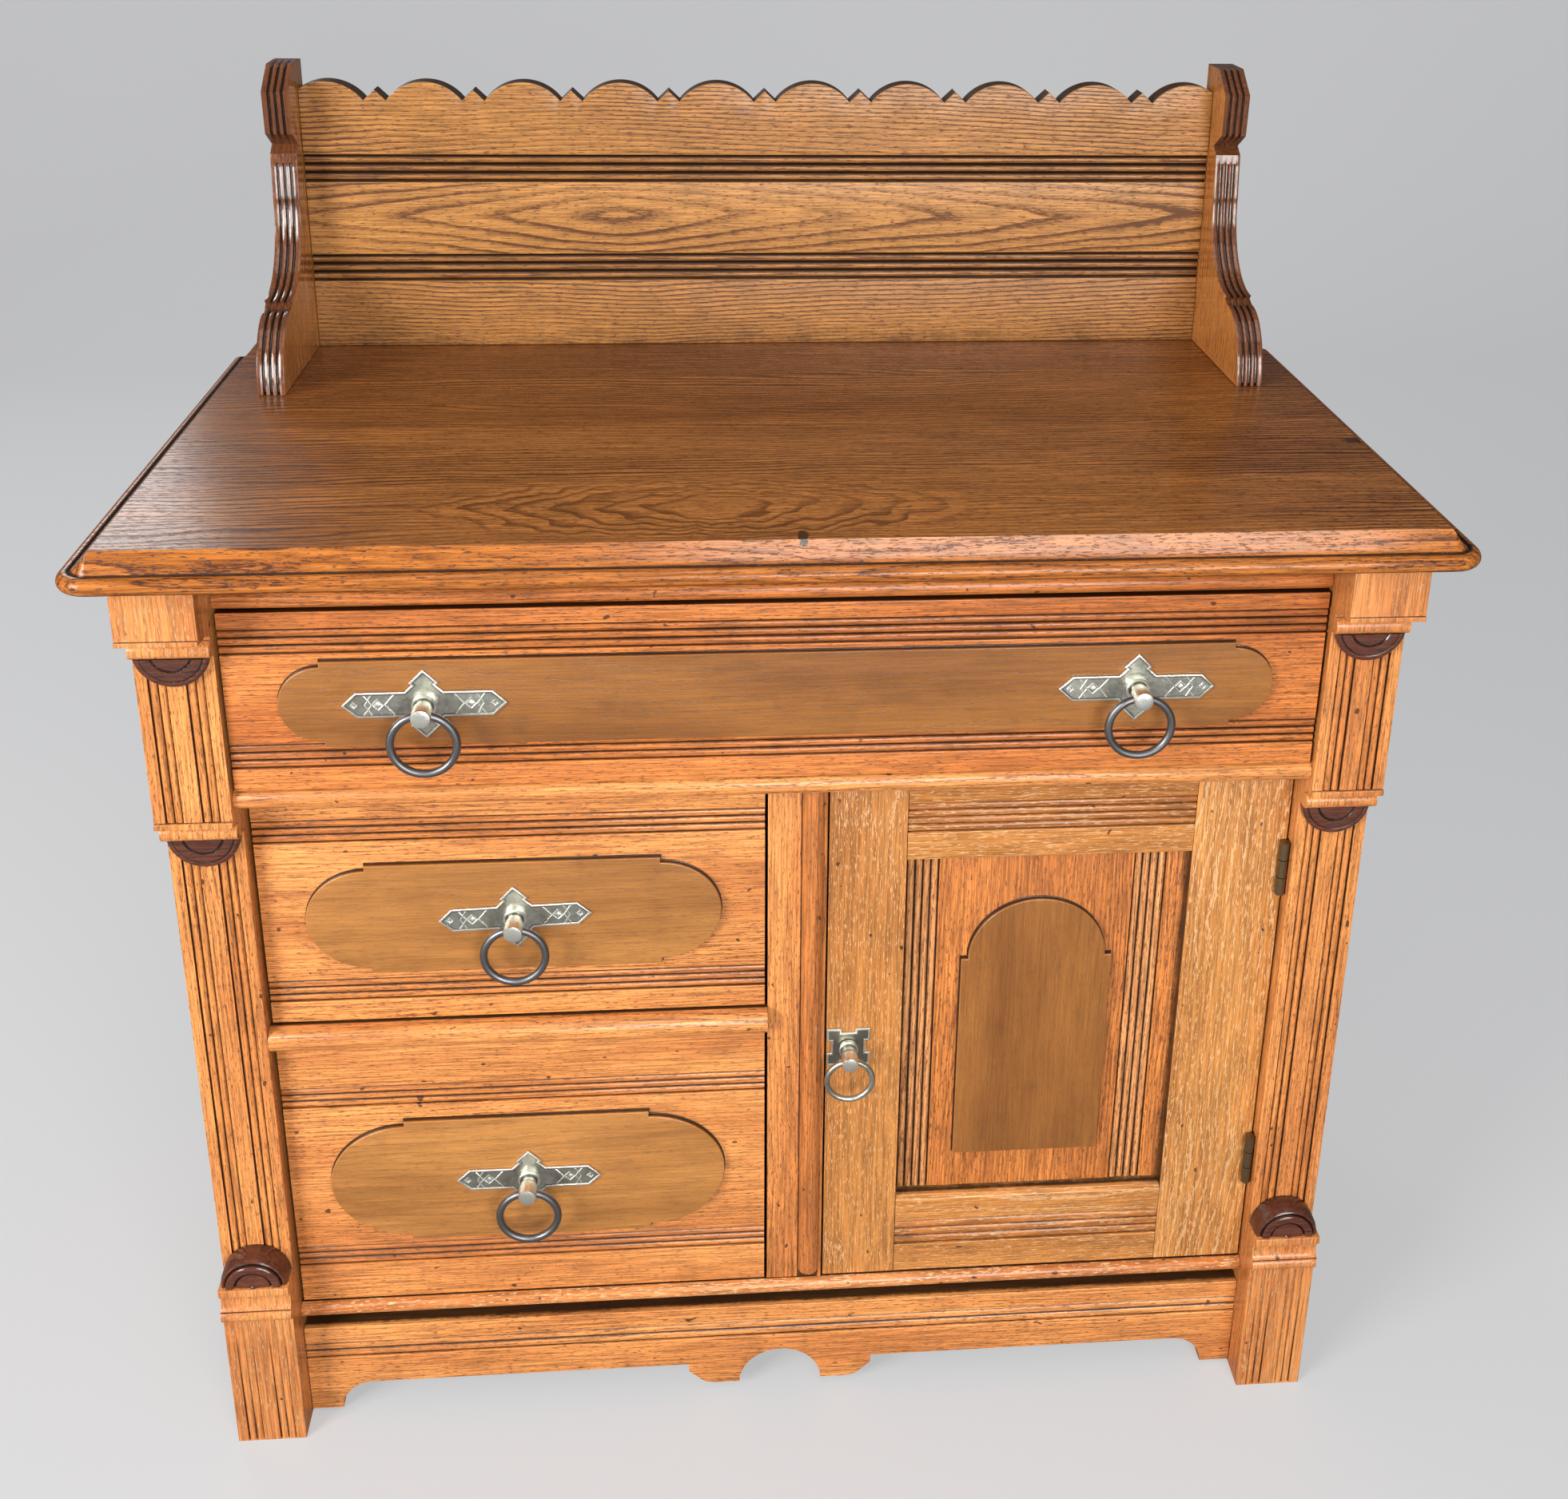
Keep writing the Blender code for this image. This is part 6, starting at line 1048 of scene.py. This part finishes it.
def make_door_frame():
    """Two flat stiles and two rails with a sunk band of reeds. The lower rail's upper edge is bevelled."""
    back = FACE_Y + 0.020
    for name, low, high, cad, stained in (("latch_stile", DOOR_LEFT, PANEL_LEFT, "door_latch_stile", 0.35),
                                          ("hinge_stile", PANEL_RIGHT, DOOR_RIGHT, "door_hinge_stile", 0.0)):
        outline = [(low, FACE_Y), (high, FACE_Y), (high, FACE_Y + JOINT_SHADE_SET_BACK), (high, back), (low, back),
                   (low, FACE_Y + JOINT_SHADE_SET_BACK)]
        # Painted shade: the stiles' sides behind the set back are painted dark, as in the gaps.
        section = eased(outline, ARRIS, (0.0, 0.0, 1.0, 0.0, 0.0, 1.0))
        Draft().bar(section, "z", *stations(DOOR_BOTTOM, DOOR_TOP), trim=stained).finish(
            name, "block", [cad], "door", along="z")
    foot_pitch = 0.0074
    head_reeds = reeds(DOOR_TOP - 0.0235 - 4 * REED_PITCH, REED_PITCH, 4)
    foot_reeds = reeds(PANEL_BOTTOM - 0.0223 - 3 * foot_pitch, foot_pitch, 3)
    for name, low, high, line, bevel, cad in (
            ("door_head", PANEL_TOP, DOOR_TOP, head_reeds, 0.0, "door_top_rail"),
            ("door_foot", DOOR_BOTTOM, PANEL_BOTTOM, foot_reeds, 0.0025, "door_bottom_rail")):
        outline = [(FACE_Y, low)] + [(FACE_Y + sunk, place) for place, sunk in line]
        outline += [(FACE_Y, high - bevel), (FACE_Y + bevel, high), (FACE_Y + bevel + 0.004, high),
                    (back, high), (back, low), (FACE_Y + 0.004, low)]
        # Painted shade: the rails' edges behind the face are partly painted dark, as in the gaps.
        deep = [0.0] + sunk_dark(line, REED_DEPTH * 1.7) + [0.0, 0.0, 0.8, 0.0, 0.0, 0.8]
        section = eased(outline, ARRIS, deep)
        stained = within(section[0][:, 1], (line[0, 0], line[-1, 0])) * (section[0][:, 0] < FACE_Y + 0.010)
        Draft().bar(section, "x", *stations(PANEL_LEFT + JOINT, PANEL_RIGHT - JOINT),
                    trim=0.35 + 0.65 * stained).finish(name, "block", [cad], "door")


def make_door_panel():
    """A panel with a band of reeds at each side, whose face dips into a groove at its foot, and an applied
    arch: a rectangle with half an ellipse on it, narrower than the rectangle by two small shoulders."""
    tongue, thickness, groove, band = 0.0062, 0.008, 0.0022, REED_PITCH * 4
    left, right = PANEL_LEFT - tongue, PANEL_RIGHT + tongue
    starts = (PANEL_LEFT + 0.0013, PANEL_RIGHT - 0.015 - band)
    # Painted shade: the panel's edges beside the stiles are painted dark, as shade from the stiles.
    outline, deep = [(left, PANEL_Y), (PANEL_LEFT + 0.0010, PANEL_Y)], [1.0, 1.0]
    for start in starts:
        line = reeds(start, REED_PITCH, 4)
        outline += [(place, PANEL_Y + sunk) for place, sunk in line]
        deep += sunk_dark(line)
    outline += [(PANEL_RIGHT - 0.0008, PANEL_Y), (right, PANEL_Y), (right, PANEL_Y + thickness),
                (left, PANEL_Y + thickness)]
    section = eased(outline, 0.0004, deep + [0.6, 1.0, 0.0, 0.0])
    shown = (section[0][:, 1] < PANEL_Y + 0.005).astype(float)
    places, insets = stations(PANEL_BOTTOM - tongue, PANEL_TOP + tongue,
                              PANEL_BOTTOM + np.array([-0.0010, 0.0009, 0.0014, 0.0020]))
    slot = np.zeros(len(places))
    slot[4:7] = groove, groove, 0.0012
    stained = within(section[0][:, 0], *[(start, start + band) for start in starts]) * shown
    Draft().bar(section, "z", places, insets, sunk=slot, zone=shown, trim=stained).finish(
        "reeded_panel", "panel", ["door_panel"], "door", along="z")
    low, foot, width = PANEL_LEFT + 0.042, PANEL_BOTTOM + 0.035, 0.108
    shoulder = foot + 0.1705
    outline = join([(low, foot), (low + width, foot), (low + width, shoulder)],
                   arc((low + width / 2, shoulder), (0.0492, 0.048), 0, 180, 48), [(low, shoulder)])
    Draft().sheet(outline, PANEL_Y - JOINT, overlay_edge(), trim=1.0).finish(
        "arched_panel", "overlay", ["door_overlay"], "door", along="z")


def make_latch():
    """A square plate with a notch in each side, a turned post with a square stem through the stile and a
    tongue behind it, and a ring."""
    x, z, back, tongue_face, tongue_back = 0.0474, 0.3140, FACE_Y - JOINT, FACE_Y + 0.0206, FACE_Y + 0.0231
    half, notch, depth = 0.0155, 0.005, 0.0032
    side = np.array([(half, -half), (half, -notch), (half - depth, -notch), (half - depth, notch),
                     (half, notch)])
    outline = join(side, side[:, ::-1] * (-1, 1), -side, side[:, ::-1] * (1, -1)) + (x, z)
    border = [(0.0, 0.0, 0.6, 0.0), (0.0, 0.0010, 0.0, 0.3), (0.0003, 0.0014, 0.0, 1.0),
              (0.0006, PLATE, 0.0, 0.8), (0.0013, PLATE, 0.0, 0.3), (0.0016, 0.0012, 1.0, 0.0),
              (0.0020, 0.0012, 0.85, 0.0)]
    Draft().sheet(outline, back, border).finish("latch_back_plate", "nickel", ["latch_plate"], "door")
    base = back - PLATE - JOINT
    draft = Draft().turned(post_profile(0.0068, 0.0054, 0.0058, 0.020, 0.0100, 0.0035), (x, base, z))
    draft.plain((x - 0.003, base, z - 0.003), (x + 0.003, tongue_back, z + 0.003), "y", 0.0008)
    draft.plain((x - 0.005, tongue_face, z - 0.031), (x + 0.005, tongue_back, z + 0.005), "z", 0.0006)
    draft.finish("latch_post_and_tongue", "nickel", ["latch_turn"], "latch")
    axis_y = base - 0.020 + 0.005
    Draft().hoop(0.0161, 0.0021, (x, axis_y, z), 0.62).finish(
        "latch_hoop", "nickel", ["latch_ring"], "latch_ring")


# Sides, back and the boards inside

def make_sides():
    """Two stiles, two rails and a flat board on each side: name, node, wood, reach in X, Y and Z, run."""
    top, seam, front_joint, back_joint = CASE_HEIGHT - JOINT, 0.0001, -0.0397, 0.154
    frame_x, board_x = (0.380, 0.400), (0.386, 0.394)
    front_y, back_y = (-0.0947, front_joint - seam), (back_joint + seam, BACK_Y)
    boards = [
        ("side_stile_front_", "side_frame_", "case", frame_x, front_y, (0.060, top), "z"),
        ("side_stile_back_", "side_frame_", "case", frame_x, back_y, (0.0, top), "z"),
        ("side_rail_top_", "side_frame_", "case", frame_x, (front_joint, back_joint), (0.6527, top), "y"),
        ("side_rail_bottom_", "side_frame_", "case", frame_x, (front_joint, back_joint), (0.060, 0.135), "y"),
        ("side_board_", "side_panel_", "panel", board_x, (-0.0477, 0.162), (0.127, 0.6607), "z"),
    ]
    for side, word in SIDES:
        for name, cad, wood, reach, y, z, run in boards:
            near, far = sorted((side * reach[0], side * reach[1]))
            Draft().plain((near, y[0], z[0]), (far, y[1], z[1]), run).finish(
                name + word, wood, [cad + word], along=run, out="x")


def make_back():
    """Upright boards side by side, with a narrow shadow between each two."""
    edges, gap, top = (-0.3797, -0.226, -0.081, 0.083, 0.231, 0.3797), 0.0004, CASE_HEIGHT - JOINT
    for index, (low, high) in enumerate(zip(edges, edges[1:])):
        Draft().plain((low + gap, 0.197, 0.080), (high - gap, BACK_Y, top), "z", 0.001).finish(
            "back_board_%d" % index, "pine_z", ["back_panel"], along="z")


def dress_inside():
    """The plain boards inside keep their shape and take the look of pine, and the hinges that of brass."""
    looks = {"upper_dust_board": "pine_x", "lower_dust_board": "pine_x", "bottom_board": "pine_x",
             "partition_board": "pine_z"}
    for name in ("long_drawer", "upper_drawer", "lower_drawer"):
        looks[name + "_box"], looks[name + "_bottom"] = "pine_y", "pine_x"
    for place in ("upper", "lower"):
        looks["case_hinge_leaf_" + place] = looks["door_hinge_leaf_" + place] = "brass"
    for name, look in looks.items():
        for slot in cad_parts[name].material_slots:
            slot.material = materials[look]


for make in (make_top, make_splash, make_brackets, make_posts, make_roundels, make_rails, make_apron,
             make_divider, make_drawers, make_door_frame, make_door_panel, make_latch, make_sides, make_back,
             dress_inside):
    make()


# The floor, the light and the camera

def make_floor():
    """A pale sweep: flat underfoot, then a quarter round up to a wall, carried sideways."""
    turn = np.linspace(0.0, math.pi / 2, 24)
    bend = np.stack([2.5 + 1.5 * np.sin(turn), 1.5 * (1 - np.cos(turn))], axis=1)
    line = join([(-6.0, 0.0)], bend, [(4.0, 6.0)])
    x = np.linspace(-7.0, 7.0, 3) * np.ones((len(line), 1))
    points = np.stack([x, line[:, :1] * np.ones_like(x), line[:, 1:] * np.ones_like(x)], axis=-1)
    mesh = bpy.data.meshes.new("floor sweep")
    mesh.from_pydata(points.reshape(-1, 3), [], quads(np.arange(x.size).reshape(x.shape)))
    mesh.shade_smooth()
    material, g, shader = new_material("pale floor", Roughness=0.8, Emission_Strength=1.0)
    seen = g.camera_ray()
    pale = g.mix(g.noise(g.place(), 1.2), (0.24, 0.24, 0.243), (0.26, 0.26, 0.263))
    g.put(g.mix(seen, (0.20, 0.20, 0.21), pale), shader.inputs["Base Color"])
    g.put(g.mix(seen, (0.0, 0.0, 0.0), (0.40, 0.403, 0.410)), shader.inputs["Emission Color"])
    mesh.materials.append(material)
    floor = bpy.data.objects.new("floor_sweep", mesh)
    bpy.context.scene.collection.objects.link(floor)


def make_lamp(name, place, aim, power, width, height, colour=(1.0, 1.0, 1.0)):
    """A rectangular lamp that faces the place it is aimed at."""
    light = bpy.data.lights.new(name, "AREA")
    light.shape = "RECTANGLE"
    light.size, light.size_y, light.energy, light.color = width, height, power, colour
    lamp = bpy.data.objects.new(name, light)
    lamp.location = place
    lamp.rotation_euler = (Vector(aim) - Vector(place)).to_track_quat("-Z", "Y").to_euler()
    bpy.context.scene.collection.objects.link(lamp)


make_floor()
make_lamp("window_left", (-2.2, -1.9, 1.5), (0.0, 0.0, 0.45), 100.0, 1.2, 1.4, (1.0, 0.98, 0.95))
make_lamp("room_front", (0.7, -3.0, 1.25), (0.0, 0.0, 0.4), 82.0, 1.6, 1.4, (1.0, 0.99, 0.97))
make_lamp("ceiling", (0.2, -0.9, 3.0), (0.0, 0.0, 0.5), 18.0, 1.8, 1.8)
make_lamp("window_behind", (-1.5, 2.2, 1.9), (-0.2, 0.0, 0.74), 14.0, 0.9, 1.1, (0.95, 0.98, 1.0))

world = bpy.data.worlds.new("room")
world.use_nodes = True
sky = Graph(world.node_tree)
backdrop = world.node_tree.nodes["Background"]
sky.put(sky.mix(sky.camera_ray(), (0.17, 0.174, 0.182), (0.75, 0.76, 0.77)), backdrop.inputs["Color"])
bpy.context.scene.world = world
bpy.context.scene.view_settings.view_transform = "Standard"

lens = bpy.data.cameras.new("camera")
lens.sensor_fit = "HORIZONTAL"
lens.sensor_width = 36.0
lens.lens = 40.231
lens.shift_x, lens.shift_y = -0.03520, -0.19461
camera = bpy.data.objects.new("camera", lens)
camera.location = (-0.0546, -1.15667, 1.14283)
camera.rotation_euler = (1.22484083, -0.01622135, -0.07979958)
bpy.context.scene.collection.objects.link(camera)
bpy.context.scene.camera = camera
